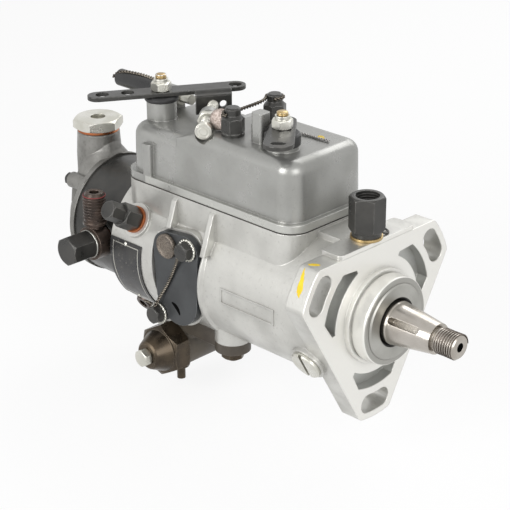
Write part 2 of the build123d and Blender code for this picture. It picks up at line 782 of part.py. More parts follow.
# Governor arm, forked round the shaft below its pivot
arm_nose_x = thrust_rear_x - slip_gap - arm_nose_radius
arm_x = arm_nose_x - arm_thickness / 2 + slip_gap
with BuildPart() as governor_arm:
    with BuildSketch(Plane.YZ.offset(arm_x - arm_thickness / 2)):
        with Locations((0, arm_shoulder_z / 2)):
            Rectangle(2 * arm_half_width, arm_shoulder_z)
        with Locations(((valve_lever_reach + 4 - 4) / 2, (arm_shoulder_z + arm_top_z) / 2 - 1)):
            Rectangle(valve_lever_reach + 8, arm_top_z - arm_shoulder_z + 2)
        with Locations((0, 10)):
            Rectangle(2 * arm_leg_inner, 24, mode=Mode.SUBTRACT)
        with Locations((valve_lever_reach, link_z)):
            Circle(link_radius + 1.1, mode=Mode.SUBTRACT)
    extrude(amount=arm_thickness)
    for side in (-1, 1):
        nose_start = side * arm_leg_inner
        nose_end = side * arm_half_width
        bar(arm_nose_radius, min(nose_start, nose_end), max(nose_start, nose_end),
            (arm_nose_x, 0, 0), (0, 1, 0))
    bar(arm_pin_radius, -arm_half_width - slip_gap - bracket_thickness,
        arm_half_width + slip_gap + bracket_thickness, (arm_x, 0, arm_pivot_z), (0, 1, 0))
governor_arm.part.label = "governor_arm"

# Bracket that carries the governor arm, clamped under the cover studs
with BuildPart() as control_bracket:
    cheek_inner = arm_half_width + slip_gap
    with BuildSketch(Plane.XY.offset(roof_floor_z)):
        with Locations(((bracket_rear_x + arm_x + 4) / 2, 0)):
            RectangleRounded(arm_x + 4 - bracket_rear_x, 2 * bracket_half_width, 2)
        with Locations((arm_x, 0)):
            Rectangle(20, 2 * cheek_inner, mode=Mode.SUBTRACT)
        for stud_y in (cap_nut_near_y, cap_nut_far_y):
            with Locations((cap_nut_x, stud_y)):
                Circle(stud_radius + slip_gap, mode=Mode.SUBTRACT)
    extrude(amount=bracket_thickness)
    for side in (-1, 1):
        with BuildSketch(Plane.XZ.offset(-side * cheek_inner)):
            with Locations((arm_x, (arm_pivot_z - 4 + roof_floor_z + bracket_thickness) / 2)):
                Rectangle(8, roof_floor_z + bracket_thickness - arm_pivot_z + 4)
            with Locations((arm_x, arm_pivot_z)):
                Circle(arm_pin_radius + running_gap, mode=Mode.SUBTRACT)
        extrude(amount=-side * bracket_thickness)
control_bracket.part.label = "control_bracket"

# Link rod with a head in front of the arm and a pin down into the valve lever
with BuildPart() as link_rod:
    link_front_x = arm_x + arm_thickness / 2 + 0.8
    bar(link_radius, valve_x, link_front_x + 1.5, (0, valve_lever_reach, link_z), along_shaft)
    bar(4, link_front_x, link_front_x + 1.5, (0, valve_lever_reach, link_z), along_shaft)
    bar(link_radius, valve_lever_z - 1, link_z, (valve_x, valve_lever_reach, 0), upwards)
link_rod.part.label = "link_rod"

# Metering valve with its lever
with BuildPart() as metering_valve:
    bar(valve_radius, valve_bottom_z, rail_top_z + 1.2, (valve_x, 0, 0), upwards)
    bar(valve_radius - 1, rail_top_z + 1.2, valve_lever_z, (valve_x, 0, 0), upwards)
    with BuildSketch(Plane.XY.offset(valve_lever_z)) as lever_plan:
        with Locations((valve_x, 0)):
            Circle(valve_radius)
        with Locations((valve_x, valve_lever_reach)):
            Circle(3.6)
        with Locations((valve_x, valve_lever_reach / 2)):
            Rectangle(7, valve_lever_reach)
        with Locations((valve_x, valve_lever_reach)):
            Circle(link_radius + 0.8, mode=Mode.SUBTRACT)
    extrude(amount=valve_lever_thickness)
metering_valve.part.label = "metering_valve"

# Drive plate and distributor rotor
with BuildPart() as drive_plate:
    drive_plate_rear_x = drive_plate_front_x - drive_plate_thickness
    with BuildSketch(Plane.YZ.offset(drive_plate_rear_x)):
        Circle(drive_plate_radius)
        Circle(spline_root_radius + 0.1, mode=Mode.SUBTRACT)
        with PolarLocations(spline_root_radius, spline_count):
            Rectangle(2 * (spline_radius - spline_root_radius) + 0.2, 2.6, mode=Mode.SUBTRACT)
        with PolarLocations(drive_plate_radius - 6, 6):
            Circle(2.4, mode=Mode.SUBTRACT)
    extrude(amount=drive_plate_thickness)
drive_plate.part.label = "drive_plate"

roller_centre = cam_bore_radius - cam_lobe_height - slip_gap - roller_radius
shoe_floor = roller_centre - roller_radius - 2
with BuildPart() as distributor_rotor:
    turn([(transfer_front_x, 0), (transfer_front_x, rotor_radius - running_gap),
          (rotor_head_rear_x, rotor_radius - running_gap), (rotor_head_rear_x, rotor_head_radius),
          (rotor_head_front_x, rotor_head_radius), (rotor_head_front_x, 0)], origin, along_shaft)
    with BuildSketch(Plane.YZ.offset(rotor_head_rear_x + 1)):
        for side in (-1, 1):
            with Locations((0, side * (shoe_floor + rotor_head_radius) / 2)):
                Rectangle(shoe_width + 0.2, rotor_head_radius - shoe_floor + 2)
    extrude(amount=rotor_head_front_x - rotor_head_rear_x - 2, mode=Mode.SUBTRACT)
    bar(plunger_radius + running_gap, -rotor_head_radius, rotor_head_radius,
        ((rotor_head_front_x + rotor_head_rear_x) / 2, 0, 0), upwards, Mode.SUBTRACT)
distributor_rotor.part.label = "distributor_rotor"

# Plungers with their shoes and rollers
roller_front_x = rotor_head_front_x - 1.6
roller_rear_x = rotor_head_rear_x + 1.6
with BuildPart() as plungers_and_shoes:
    for side in (-1, 1):
        outwards = (0, 0, side)
        bar(plunger_radius, 1, shoe_floor + 0.6, ((rotor_head_front_x + rotor_head_rear_x) / 2, 0, 0),
            outwards)
        with BuildSketch(Plane.YZ.offset(roller_rear_x)):
            with Locations((0, side * (shoe_floor + 0.5 + roller_centre) / 2)):
                Rectangle(shoe_width, roller_centre - shoe_floor - 0.5)
            with Locations((0, side * roller_centre)):
                Circle(roller_radius + seat_gap, mode=Mode.SUBTRACT)
        extrude(amount=roller_front_x - roller_rear_x)
        bar(roller_radius, roller_rear_x, roller_front_x, (0, 0, side * roller_centre), along_shaft)
plungers_and_shoes.part.label = "plungers_and_shoes"

# Transfer pump: its rotor with two blades, and the off-centre liner
with BuildPart() as transfer_rotor:
    transfer_rear_x = head_rear_x + slip_gap
    bar(transfer_rotor_radius, transfer_rear_x, transfer_front_x, origin, along_shaft)
    with BuildSketch(Plane.YZ.offset(transfer_rear_x)):
        blade_reach = transfer_bore_radius - transfer_offset - slip_gap
        Rectangle(blade_thickness, 2 * blade_reach)
        Rectangle(2 * blade_reach, blade_thickness)
    extrude(amount=transfer_front_x - transfer_rear_x)
transfer_rotor.part.label = "transfer_rotor"

with BuildPart() as transfer_pump_liner:
    with BuildSketch(Plane.YZ.offset(head_rear_x)):
        Circle(liner_radius)
        with Locations((0, transfer_offset)):
            Circle(transfer_bore_radius, mode=Mode.SUBTRACT)
    extrude(amount=transfer_front_x - head_rear_x)
transfer_pump_liner.part.label = "transfer_pump_liner"

# Cam ring with its inward lobes, and the pin that turns it
with BuildPart() as cam_ring:
    with BuildSketch(Plane.YZ.offset(cam_ring_rear_x)):
        Circle(cam_ring_radius)
        Circle(cam_bore_radius, mode=Mode.SUBTRACT)
        with PolarLocations(cam_bore_radius - cam_lobe_height + cam_lobe_radius, cam_lobe_count):
            Circle(cam_lobe_radius)
    extrude(amount=cam_ring_length)
    bar(pin_radius + seat_gap, cam_bore_radius + 3, cam_ring_radius + 1, (advance_x, 0, 0), (0, 0, -1),
        Mode.SUBTRACT)
cam_ring.part.label = "cam_ring"

with BuildPart() as cam_advance_pin:
    pin_top = cam_bore_radius + 3
    turn([(pin_top, 0), (pin_top, pin_radius), (-advance_z + 1.5, pin_radius),
          (-advance_z + 3, pin_radius - 1), (-advance_z + 3.6, 0)], (advance_x, 0, 0), (0, 0, -1))
cam_advance_pin.part.label = "cam_advance_pin"

# Hydraulic head
with BuildPart() as hydraulic_head:
    bar(head_radius, head_rear_x, head_front_x, origin, along_shaft)
    for angle in outlet_angles:
        bar(banjo_radius, 25, head_radius, (outlet_x, 0, 0), (0, *polar(1, angle)))
    turn([(head_rear_x - 1, 0), (head_rear_x - 1, liner_radius + seat_gap),
          (transfer_front_x, liner_radius + seat_gap), (transfer_front_x, rotor_radius),
          (head_front_x + 1, rotor_radius), (head_front_x + 1, 0)], origin, along_shaft, Mode.SUBTRACT)
    for angle in outlet_angles:
        bar(outlet_bolt_shank_radius + seat_gap, 20, head_radius + 1, (outlet_x, 0, 0),
            (0, *polar(1, angle)), Mode.SUBTRACT)
    bar(valve_radius + running_gap, valve_bottom_z - 1, head_radius + 1, (valve_x, 0, 0), upwards,
        Mode.SUBTRACT)
    bar(lock_screw_radius + seat_gap, head_radius - 9, head_radius + 1, lock_origin, lock_direction,
        Mode.SUBTRACT)
    for angle in plate_screw_angles:
        bar(plate_screw_radius + seat_gap, head_rear_x - 1, head_rear_x + plate_screw_depth + 0.4,
            (0, *polar(plate_screw_pitch_radius, angle)), along_shaft, Mode.SUBTRACT)
hydraulic_head.part.label = "hydraulic_head"

# End plate with its rim, core, screw bosses and the upright inlet boss
with BuildPart() as end_plate:
    turn([(head_rear_x, 0), (head_rear_x, end_plate_radius),
          (head_rear_x - end_plate_rim, end_plate_radius), (head_rear_x - end_plate_rim - 3, 31),
          (end_plate_rear_x, end_plate_core_radius), (end_plate_rear_x - 1.5, end_plate_core_radius - 2),
          (end_plate_rear_x - 1.5, 0)], origin, along_shaft)
    for angle in plate_screw_angles:
        bar(plate_screw_boss_radius, head_rear_x - end_plate_rim - plate_screw_boss_length,
            head_rear_x - 0.5, (0, *polar(plate_screw_pitch_radius, angle)), along_shaft)
    turn([(-14, 0), (-14, 6), (-10, 10.5), (-4, inlet_foot_radius), (inlet_top_z - 14, inlet_foot_radius),
          (inlet_top_z - 1, inlet_radius), (inlet_top_z, inlet_radius - 0.8), (inlet_top_z, 0)],
         (inlet_x, 0, 0), upwards)
    # Flared foot that runs from the inlet boss into the rim
    with BuildPart(mode=Mode.PRIVATE) as inlet_foot:
        turn([(10, 0), (10, 26), (18, 25), (24, 22.4), (30, 18.4), (35, 14.4), (40, 10.6), (45, 7.8), (45, 0)],
             (inlet_foot_x, 0, 0), upwards)
        with BuildSketch(Plane.YZ.offset(inlet_foot_rear_x)):
            Rectangle(120, 120)
        extrude(amount=head_rear_x - inlet_foot_rear_x, mode=Mode.INTERSECT)
    add(inlet_foot.part)
    bar(inlet_bore_radius, inlet_top_z - 14, inlet_top_z + 1, (inlet_x, 0, 0), upwards, Mode.SUBTRACT)
    for angle in plate_screw_angles:
        bar(plate_screw_radius + seat_gap, head_rear_x - 30, head_rear_x + 1,
            (0, *polar(plate_screw_pitch_radius, angle)), along_shaft, Mode.SUBTRACT)
end_plate.part.label = "end_plate"

with BuildPart() as end_plate_screws:
    for angle in plate_screw_angles:
        screw_origin = (0, *polar(plate_screw_pitch_radius, angle))
        boss_end = head_rear_x - end_plate_rim - plate_screw_boss_length
        bar(plate_screw_radius, boss_end - 1, head_rear_x + plate_screw_depth, screw_origin, along_shaft)
        hex_bar(plate_screw_head, boss_end - 3.5, boss_end, screw_origin, along_shaft, 0.6)
end_plate_screws.part.label = "end_plate_screws"

plug_bottom_z = inlet_top_z + washer_thickness
with BuildPart() as inlet_plug:
    bar(inlet_bore_radius - seat_gap, inlet_top_z - 12, plug_bottom_z, (inlet_x, 0, 0), upwards)
    hex_bar(inlet_plug_across_flats, plug_bottom_z, plug_bottom_z + inlet_plug_height,
            (inlet_x, 0, 0), upwards, 1.2)
    bar(4, inlet_top_z - 13, plug_bottom_z + 1, (inlet_x, 0, 0), upwards, Mode.SUBTRACT)
    bar(inlet_recess_radius, plug_bottom_z + 2.6, plug_bottom_z + inlet_plug_height + 1, (inlet_x, 0, 0),
        upwards, Mode.SUBTRACT)
inlet_plug.part.label = "inlet_plug"

# High-pressure outlets: hollow bolts, banjos with upright nipples
with BuildPart() as outlet_banjo_bolts:
    for angle in outlet_angles:
        outwards = (0, *polar(1, angle))
        bar(outlet_bolt_shank_radius, 21, outlet_bolt_head_start, (outlet_x, 0, 0), outwards)
        hex_bar(outlet_bolt_across_flats, outlet_bolt_head_start, outlet_bolt_end, (outlet_x, 0, 0),
                outwards, 1.2)
outlet_banjo_bolts.part.label = "outlet_banjo_bolts"

with BuildPart() as outlet_banjos:
    for angle in outlet_angles:
        outwards = (0, *polar(1, angle))
        banjo_middle = (banjo_inner + banjo_outer) / 2
        nipple_origin = (outlet_x, *polar(banjo_middle, angle))
        nipple_direction = (0, *polar(1, angle - 90))
        bar(banjo_radius, banjo_inner, banjo_outer, (outlet_x, 0, 0), outwards)
        turn([(6, 0), (6, 4.4), (12, 4.4), (12, nipple_radius + 0.8), (13.6, nipple_radius + 0.8),
              (13.6, nipple_radius), (nipple_length - 2, nipple_radius),
              (nipple_length, nipple_radius - 1.2), (nipple_length, 0)], nipple_origin, nipple_direction)
        bar(outlet_bolt_shank_radius + slip_gap, banjo_inner - 1, banjo_outer + 1, (outlet_x, 0, 0),
            outwards, Mode.SUBTRACT)
        bar(nipple_bore_radius, 8, nipple_length + 1, nipple_origin, nipple_direction, Mode.SUBTRACT)
outlet_banjos.part.label = "outlet_banjos"

# Copper washers under the banjos, the bolts, the locking screw and the inlet plug
with BuildPart() as copper_washers:
    def washer(outer, inner, start, end, centre, direction):
        """Flat ring between two distances along an axis."""
        turn([(start, inner), (start, outer), (end, outer), (end, inner)], centre, direction)

    for angle in outlet_angles:
        outwards = (0, *polar(1, angle))
        for start, end in ((head_radius, banjo_inner), (banjo_outer, outlet_bolt_head_start)):
            washer(bolt_washer_radius, outlet_bolt_shank_radius + seat_gap, start, end, (outlet_x, 0, 0),
                   outwards)
    washer(lock_washer_radius, lock_screw_radius + seat_gap, lock_boss_face, lock_hex_start, lock_origin,
           lock_direction)
    washer(inlet_radius - 0.1, inlet_bore_radius, inlet_top_z, plug_bottom_z, (inlet_x, 0, 0), upwards)
copper_washers.part.label = "copper_washers"

# Locking screw of the head with the vent screw in its end
with BuildPart() as head_lock_screw:
    bar(lock_screw_radius, head_radius - 8.5, lock_hex_start, lock_origin, lock_direction)
    hex_bar(lock_screw_across_flats, lock_hex_start, lock_hex_start + lock_screw_hex_length, lock_origin,
            lock_direction, 1.0)
    hex_bar(vent_screw_across_flats, lock_hex_start + lock_screw_hex_length,
            lock_hex_start + lock_screw_hex_length + vent_screw_length, lock_origin, lock_direction, 1.0)
head_lock_screw.part.label = "head_lock_screw"

# Advance unit under the barrel
advance_origin = (advance_x, 0, advance_z)
fitting_top_z = advance_z - advance_body_radius + 3
towards_cap = (0, -1, 0)
with BuildPart() as advance_housing:
    turn([(-advance_body_half_length, 0), (-advance_body_half_length, advance_body_radius),
          (advance_body_half_length, advance_body_radius), (advance_body_half_length, 0)],
         advance_origin, towards_cap)
    with BuildSketch(Plane.XY.offset(advance_z)):
        with Locations((advance_x, 0)):
            RectangleRounded(2 * advance_block_half_width, 2 * advance_block_half_length, 3)
    extrude(amount=-barrel_rear_radius + 9 - advance_z)
    with BuildSketch(Plane.XY.offset(foot_bottom_z)) as foot_plan:
        with Locations((foot_x, foot_y)):
            Circle(foot_radius)
        with Locations(((foot_x + advance_x) / 2, foot_y)):
            Rectangle(foot_x - advance_x, 2 * (advance_body_half_length - 0.4 + foot_y))
    extrude(amount=14)
    turn([(-200, 0), (-200, barrel_rear_radius + seat_gap), (0, barrel_rear_radius + seat_gap), (0, 0)],
         origin, along_shaft, Mode.SUBTRACT)
    bar(foot_radius + 0.5, foot_seat_z, foot_seat_z + 20, (foot_x, foot_y, 0), upwards, Mode.SUBTRACT)
    bar(advance_bore_radius, -advance_body_half_length - 1, advance_body_half_length + 1,
        advance_origin, towards_cap, Mode.SUBTRACT)
    with BuildSketch(Plane.XY.offset(advance_z)):
        with Locations((advance_x, (pin_slot_near_y + pin_slot_far_y) / 2)):
            RectangleRounded(2 * pin_slot_half_width, pin_slot_far_y - pin_slot_near_y, 2)
    extrude(amount=30, mode=Mode.SUBTRACT)
    bar(stud_radius + seat_gap, foot_bottom_z - 1, foot_seat_z + 10, (foot_x, foot_y, 0), upwards,
        Mode.SUBTRACT)
    bar(fitting_radius + seat_gap, advance_z - advance_body_radius - 1, fitting_top_z,
        (fitting_x, fitting_y, 0), upwards, Mode.SUBTRACT)
advance_housing.part.label = "advance_housing"

cap_hex_end = advance_body_half_length + spring_cap_hex_length
cap_end = cap_hex_end + spring_cap_cone_length
with BuildPart() as advance_spring_cap:
    hex_bar(spring_cap_across_flats, advance_body_half_length, cap_hex_end, advance_origin, towards_cap,
            1.4)
    turn([(cap_hex_end - 1, 0), (cap_hex_end - 1, 13), (cap_hex_end, 13),
          (cap_end - 1, spring_cap_face_radius + 0.6),
          (cap_end, spring_cap_face_radius - 0.6), (cap_end, 0)], advance_origin, towards_cap)
    bar(advance_bore_radius - seat_gap, advance_body_half_length - 4, advance_body_half_length + 1,
        advance_origin, towards_cap)
    bar(advance_bore_radius - 2, advance_body_half_length - 5, cap_hex_end + 3, advance_origin,
        towards_cap, Mode.SUBTRACT)
    bar(2.6, cap_hex_end, cap_end + 1, advance_origin, towards_cap, Mode.SUBTRACT)
advance_spring_cap.part.label = "advance_spring_cap"

with BuildPart() as advance_end_bolt:
    bar(2.5, cap_hex_end + 3, cap_end, advance_origin, towards_cap)
    hex_bar(end_bolt_across_flats, cap_end, cap_end + end_bolt_length, advance_origin, towards_cap, 0.8)
advance_end_bolt.part.label = "advance_end_bolt"

with BuildPart() as advance_end_plug:
    bar(advance_bore_radius - seat_gap, -advance_body_half_length, -advance_body_half_length + 6,
        advance_origin, towards_cap)
    hex_bar(end_plug_across_flats, -advance_body_half_length - end_plug_length, -advance_body_half_length,
            advance_origin, towards_cap, 1.2)
advance_end_plug.part.label = "advance_end_plug"

with BuildPart() as advance_piston:
    bar(advance_bore_radius - running_gap, -piston_length / 2, piston_length / 2, advance_origin,
        towards_cap)
    bar(pin_hole_radius, -advance_z - advance_bore_radius - 1, -advance_z + 5, (advance_x, 0, 0),
        (0, 0, -1), Mode.SUBTRACT)
advance_piston.part.label = "advance_piston"

spring_start = piston_length / 2 + advance_swing + slip_gap
with BuildPart() as advance_spring:
    with BuildLine() as advance_coil:
        Helix(4.2, cap_hex_end + 0.6 - spring_start, 5.8, center=(0, 0, 0))
    with BuildSketch(Plane(origin=advance_coil.line @ 0, z_dir=advance_coil.line % 0)):
        RegularPolygon(0.9, 6)
    sweep()
advance_spring.part = (Plane(origin=(advance_x, -spring_start - 0.9, advance_z), z_dir=(0, -1, 0))
                       * advance_spring.part)
advance_spring.part.label = "advance_spring"

foot_origin = (foot_x, foot_y, 0)
with BuildPart() as advance_stud_nut:
    bar(stud_radius, foot_bottom_z - foot_nut_height + 2, foot_seat_z + 4, foot_origin, upwards)
    hex_bar(foot_nut_across_flats, foot_bottom_z - foot_nut_height + 1.5, foot_bottom_z, foot_origin,
            upwards, 0.8)
    turn([(foot_bottom_z - foot_nut_height, 0), (foot_bottom_z - foot_nut_height, 3.4),
          (foot_bottom_z - foot_nut_height + 2, 5), (foot_bottom_z - foot_nut_height + 2, 0)],
         foot_origin, upwards)
advance_stud_nut.part.label = "advance_stud_nut"

fitting_origin = (fitting_x, fitting_y, 0)
with BuildPart() as locating_fitting:
    bar(fitting_radius, fitting_bottom_z, fitting_top_z, fitting_origin, upwards)
    hex_bar(plain_nut_across_flats, advance_z - advance_body_radius - 7, advance_z - advance_body_radius - 1,
            fitting_origin, upwards, 0.8)
locating_fitting.part.label = "locating_fitting"

# Governor cover
wall_rear_x = cover_rear_x + wall_inset
wall_front_x = cover_front_x - wall_inset - 0.6
wall_half_width = cover_half_width - wall_inset
idle_direction = (cos(radians(idle_screw_angle)), sin(radians(idle_screw_angle)), 0)
idle_origin = (idle_screw_head_x, idle_screw_head_y, idle_screw_z)
max_origin = (0, max_screw_y, max_screw_z)
with BuildPart() as cover_low_form:
    rounded_box(wall_rear_x, wall_front_x, wall_half_width, cover_corner_wall, gasket_top_z,
                cover_top_z - ramp_drop, draft=cover_draft)
    fillet(cover_low_form.faces().sort_by(Axis.Z)[-1].edges(), cover_top_fillet)

with BuildPart() as cover_high_form:
    rounded_box(wall_rear_x, wall_front_x, wall_half_width, cover_corner_wall, gasket_top_z, cover_top_z,
                draft=cover_draft)
    fillet(cover_high_form.faces().sort_by(Axis.Z)[-1].edges(), cover_top_fillet)
    with BuildSketch(Plane.XZ):
        with BuildLine():
            Polyline((ramp_start_x, cover_top_z), (ramp_start_x - ramp_length, cover_top_z - ramp_drop),
                     (ramp_start_x - ramp_length, gasket_top_z - 1), (cover_rear_x - 5, gasket_top_z - 1),
                     (cover_rear_x - 5, cover_top_z + 5), (ramp_start_x, cover_top_z + 5), close=True)
        make_face()
    extrude(amount=cover_half_width + 5, both=True, mode=Mode.SUBTRACT)

with BuildPart() as governor_cover:
    add(cover_low_form.part)
    add(cover_high_form.part)
    rounded_box(cover_rear_x, cover_front_x, cover_half_width, cover_corner_radius, gasket_top_z, rim_top_z)
    # Bosses for the two control shafts
    bar(throttle_boss_radius, cover_top_z - ramp_drop - 4, throttle_boss_top_z, throttle_centre, upwards)
    bar(stop_boss_radius, cover_top_z - 4, stop_boss_top_z, stop_centre, upwards)
    # Post beside the cap nuts, with a thin fin on its rear side
    with BuildSketch(Plane.XY.offset(cover_top_z - 3)):
        with Locations((post_x, post_y)):
            RectangleRounded(post_width, post_width, 1.6)
    extrude(amount=post_height + 3)
    with BuildSketch(Plane.XY.offset(cover_top_z - 3)):
        with Locations((post_x - post_width / 2, post_y)):
            Rectangle(2 * post_fin_reach, 1.8)
    extrude(amount=post_fin_height + 3)
    # Upright bar on the near wall, down over the rim
    with BuildSketch(Plane.XY.offset(gasket_top_z)):
        with Locations((wall_bar_x, -wall_half_width - wall_bar_reach / 2 + 2)):
            RectangleRounded(wall_bar_width, wall_bar_reach + 4, 1.2)
    extrude(amount=wall_bar_top_z - gasket_top_z)
    # Relief along the idle screw, then the lugs of the two speed screws
    bar(speed_screw_head_radius + 1.5, -4, idle_length, idle_origin, idle_direction, Mode.SUBTRACT)
    bar(speed_lug_radius, idle_lug_offset - speed_lug_thickness / 2,
        idle_lug_offset + speed_lug_thickness / 2,
        idle_origin, idle_direction)
    with BuildSketch(Plane(origin=(idle_screw_head_x + idle_direction[0] * idle_lug_offset,
                                   idle_screw_head_y + idle_direction[1] * idle_lug_offset, idle_screw_z),
                           x_dir=idle_direction, z_dir=(0, 0, -1))):
        Rectangle(speed_lug_thickness, 2 * speed_lug_radius)
    extrude(amount=idle_screw_z - cover_top_z + ramp_drop + 3)
    bar(speed_lug_radius, max_lug_rear_x, max_lug_front_x, max_origin, along_shaft)
    with BuildSketch(Plane.XY.offset(max_screw_z)):
        with Locations(((max_lug_rear_x + max_lug_front_x) / 2, max_screw_y)):
            Rectangle(max_lug_front_x - max_lug_rear_x, 2 * speed_lug_radius)
    extrude(amount=-18)
    # Pocket inside, shaft bores, stud holes and screw holes
    rounded_box(wall_rear_x + cover_wall, wall_front_x - cover_wall, wall_half_width - cover_wall,
                cover_corner_wall - cover_wall, gasket_top_z - 1, cover_top_z - ramp_drop - cover_wall,
                Mode.SUBTRACT)
    for centre in (throttle_centre, stop_centre):
        bar(control_shaft_radius + running_gap, cover_top_z - 24, cover_top_z + 26, centre, upwards,
            Mode.SUBTRACT)
    for place in stud_places:
        bar(stud_radius + slip_gap, cover_top_z - 24, cover_top_z + 26, place, upwards, Mode.SUBTRACT)
    bar(speed_screw_radius + seat_gap, 0, 60, idle_origin, idle_direction, Mode.SUBTRACT)
    bar(speed_screw_radius + seat_gap, max_screw_rear_x, max_screw_tip_x, max_origin, along_shaft,
        Mode.SUBTRACT)
governor_cover.part.label = "governor_cover"

# Gaskets under the governor cover and the inspection cover
with BuildPart() as gaskets:
    with BuildSketch(Plane.XY.offset(rail_top_z)):
        with Locations(((cover_rear_x + cover_front_x) / 2, 0)):
            RectangleRounded(cover_front_x - cover_rear_x, 2 * cover_half_width, cover_corner_radius)
            RectangleRounded(cover_front_x - cover_rear_x - 2 * rail_wall,
                             2 * (cover_half_width - rail_wall), cover_corner_radius / 2,
                             mode=Mode.SUBTRACT)
    extrude(amount=gasket_thickness)
    with BuildSketch(Plane.XZ.offset(window_pad_face)):
        inspection_outline()
        with Locations((inspection_bottom_x, 0)):
            RectangleRounded(inspection_window_width, inspection_window_height, 6, mode=Mode.SUBTRACT)
        for screw_x, screw_z in inspection_screw_places:
            with Locations((screw_x, screw_z)):
                Circle(inspection_screw_radius + seat_gap, mode=Mode.SUBTRACT)
    extrude(amount=inspection_gasket)
gaskets.part.label = "gaskets"

# Studs and cap nuts of the governor cover
with BuildPart() as cover_studs:
    for place in stud_places:
        bar(stud_radius, roof_floor_z - 4.8, cover_top_z + stud_reach, place, upwards)
        nut_base_z = roof_floor_z + bracket_thickness
        hex_bar(plain_nut_across_flats, nut_base_z, nut_base_z + 5, place, upwards, 0.8)
cover_studs.part.label = "cover_studs"

with BuildPart() as cover_cap_nuts:
    for place in stud_places:
        bar(cap_nut_flange_radius, cover_top_z, cover_top_z + 1.8, place, upwards)
        hex_bar(cap_nut_across_flats, cover_top_z + 1, cover_top_z + cap_nut_hex_height, place, upwards, 1.0)
        turn([(cover_top_z + 5, 0), (cover_top_z + 5, cap_nut_across_flats / 2 - 0.2),
              (cover_top_z + cap_nut_hex_height, cap_nut_across_flats / 2 - 0.2),
              (cover_top_z + cap_nut_neck_height, cap_nut_crown_radius),
              (cover_top_z + cap_nut_height - 0.9, cap_nut_crown_radius),
              (cover_top_z + cap_nut_height, cap_nut_crown_radius - 0.9),
              (cover_top_z + cap_nut_height, 0)], place, upwards)
        bar(stud_radius + seat_gap, cover_top_z - 1, cover_top_z + stud_reach + 0.4, place, upwards,
            Mode.SUBTRACT)
cover_cap_nuts.part.label = "cover_cap_nuts"

# Speed screws and the sleeve over the maximum speed screw
with BuildPart() as speed_screws:
    bar(speed_screw_head_radius, 0, speed_screw_head_height, idle_origin, idle_direction)
    turn([(0, 0), (0, speed_screw_radius), (idle_length - 1.2, speed_screw_radius),
          (idle_length, speed_screw_radius - 1.2), (idle_length, 0)], idle_origin, idle_direction)
    hex_bar(plain_nut_across_flats, idle_lug_offset - speed_lug_thickness / 2 - 4,
            idle_lug_offset - speed_lug_thickness / 2, idle_origin, idle_direction, 0.8)
    bar(speed_screw_radius, max_screw_rear_x, max_screw_tip_x, max_origin, along_shaft)
    hex_bar(plain_nut_across_flats, max_lug_front_x, max_lug_front_x + 4, max_origin, along_shaft, 0.8)
speed_screws.part.label = "speed_screws"

with BuildPart() as max_speed_sleeve:
    turn([(sleeve_rear_x, 0), (sleeve_rear_x, sleeve_radius - 1), (sleeve_rear_x + 1, sleeve_radius),
          (max_lug_rear_x - slip_gap, sleeve_radius),
          (max_lug_rear_x - slip_gap, speed_screw_radius + slip_gap),
          (max_screw_rear_x - 1, speed_screw_radius + slip_gap), (max_screw_rear_x - 1, 0)],
         max_origin, along_shaft)
max_speed_sleeve.part.label = "max_speed_sleeve"

# Rubber seals round the control shafts
with BuildPart() as control_shaft_seals:
    for centre, radius, base, height in (
            (throttle_centre, throttle_seal_radius, throttle_boss_top_z, throttle_seal_height),
            (stop_centre, stop_seal_radius, stop_boss_top_z, stop_seal_height)):
        turn([(base, control_shaft_radius + slip_gap), (base, radius - 0.4), (base + 0.6, radius),
              (base + height - 1, radius), (base + height, radius - 1),
              (base + height, control_shaft_radius + slip_gap)], centre, upwards)
control_shaft_seals.part.label = "control_shaft_seals"

# Throttle shaft, arm and nut
arm_bottom_z = throttle_boss_top_z + throttle_seal_height + 0.2
arm_plate_top_z = arm_bottom_z + throttle_arm_thickness
shaft_foot_z = cover_top_z - ramp_drop - cover_wall - slip_gap
throttle_plane = Plane(origin=(throttle_x, throttle_y, 0), x_dir=(*polar(1, throttle_angle), 0),
                       z_dir=(0, 0, 1))
stop_plane = Plane(origin=(stop_x, stop_y, 0), x_dir=(*polar(1, stop_angle), 0), z_dir=(0, 0, 1))
with BuildPart() as throttle_shaft:
    bar(control_collar_radius, shaft_foot_z - 2.5, shaft_foot_z, throttle_centre, upwards)
    bar(control_shaft_radius, shaft_foot_z - 2.5, arm_bottom_z, throttle_centre, upwards)
    bar(control_stud_radius, arm_bottom_z - 1, arm_plate_top_z + lock_nut_height + 2.4, throttle_centre,
        upwards)
throttle_shaft.part.label = "throttle_shaft"

with BuildPart() as throttle_arm:
    with BuildSketch(throttle_plane.offset(arm_bottom_z)):
        with Locations(((throttle_arm_front - throttle_arm_rear) / 2, 0)):
            SlotOverall(throttle_arm_front + throttle_arm_rear, throttle_arm_width)
        for offset_along in throttle_hole_offsets:
            with Locations((offset_along, 0)):
                Circle(throttle_hole_radius, mode=Mode.SUBTRACT)
        Circle(control_stud_radius + seat_gap, mode=Mode.SUBTRACT)
    extrude(amount=throttle_arm_thickness)
    with BuildSketch(throttle_plane.offset(arm_plate_top_z)):
        with Locations(((tab_start + tab_end) / 2, -throttle_arm_width / 2 + throttle_arm_thickness / 2)):
            Rectangle(tab_end - tab_start, throttle_arm_thickness)
    extrude(amount=-tab_drop)
throttle_arm.part.label = "throttle_arm"


def lock_nut(centre, base):
    """Self-locking nut: hexagon with a round crown, bored for the stud."""
    top = base + lock_nut_height
    hex_bar(lock_nut_across_flats, base, top - 2, centre, upwards, 0.8)
    bar(lock_nut_crown_radius, base + 1, top, centre, upwards)
    bar(control_stud_radius + seat_gap, base - 1, top + 1, centre, upwards, Mode.SUBTRACT)


with BuildPart() as throttle_nut:
    lock_nut(throttle_centre, arm_plate_top_z)
throttle_nut.part.label = "throttle_nut"

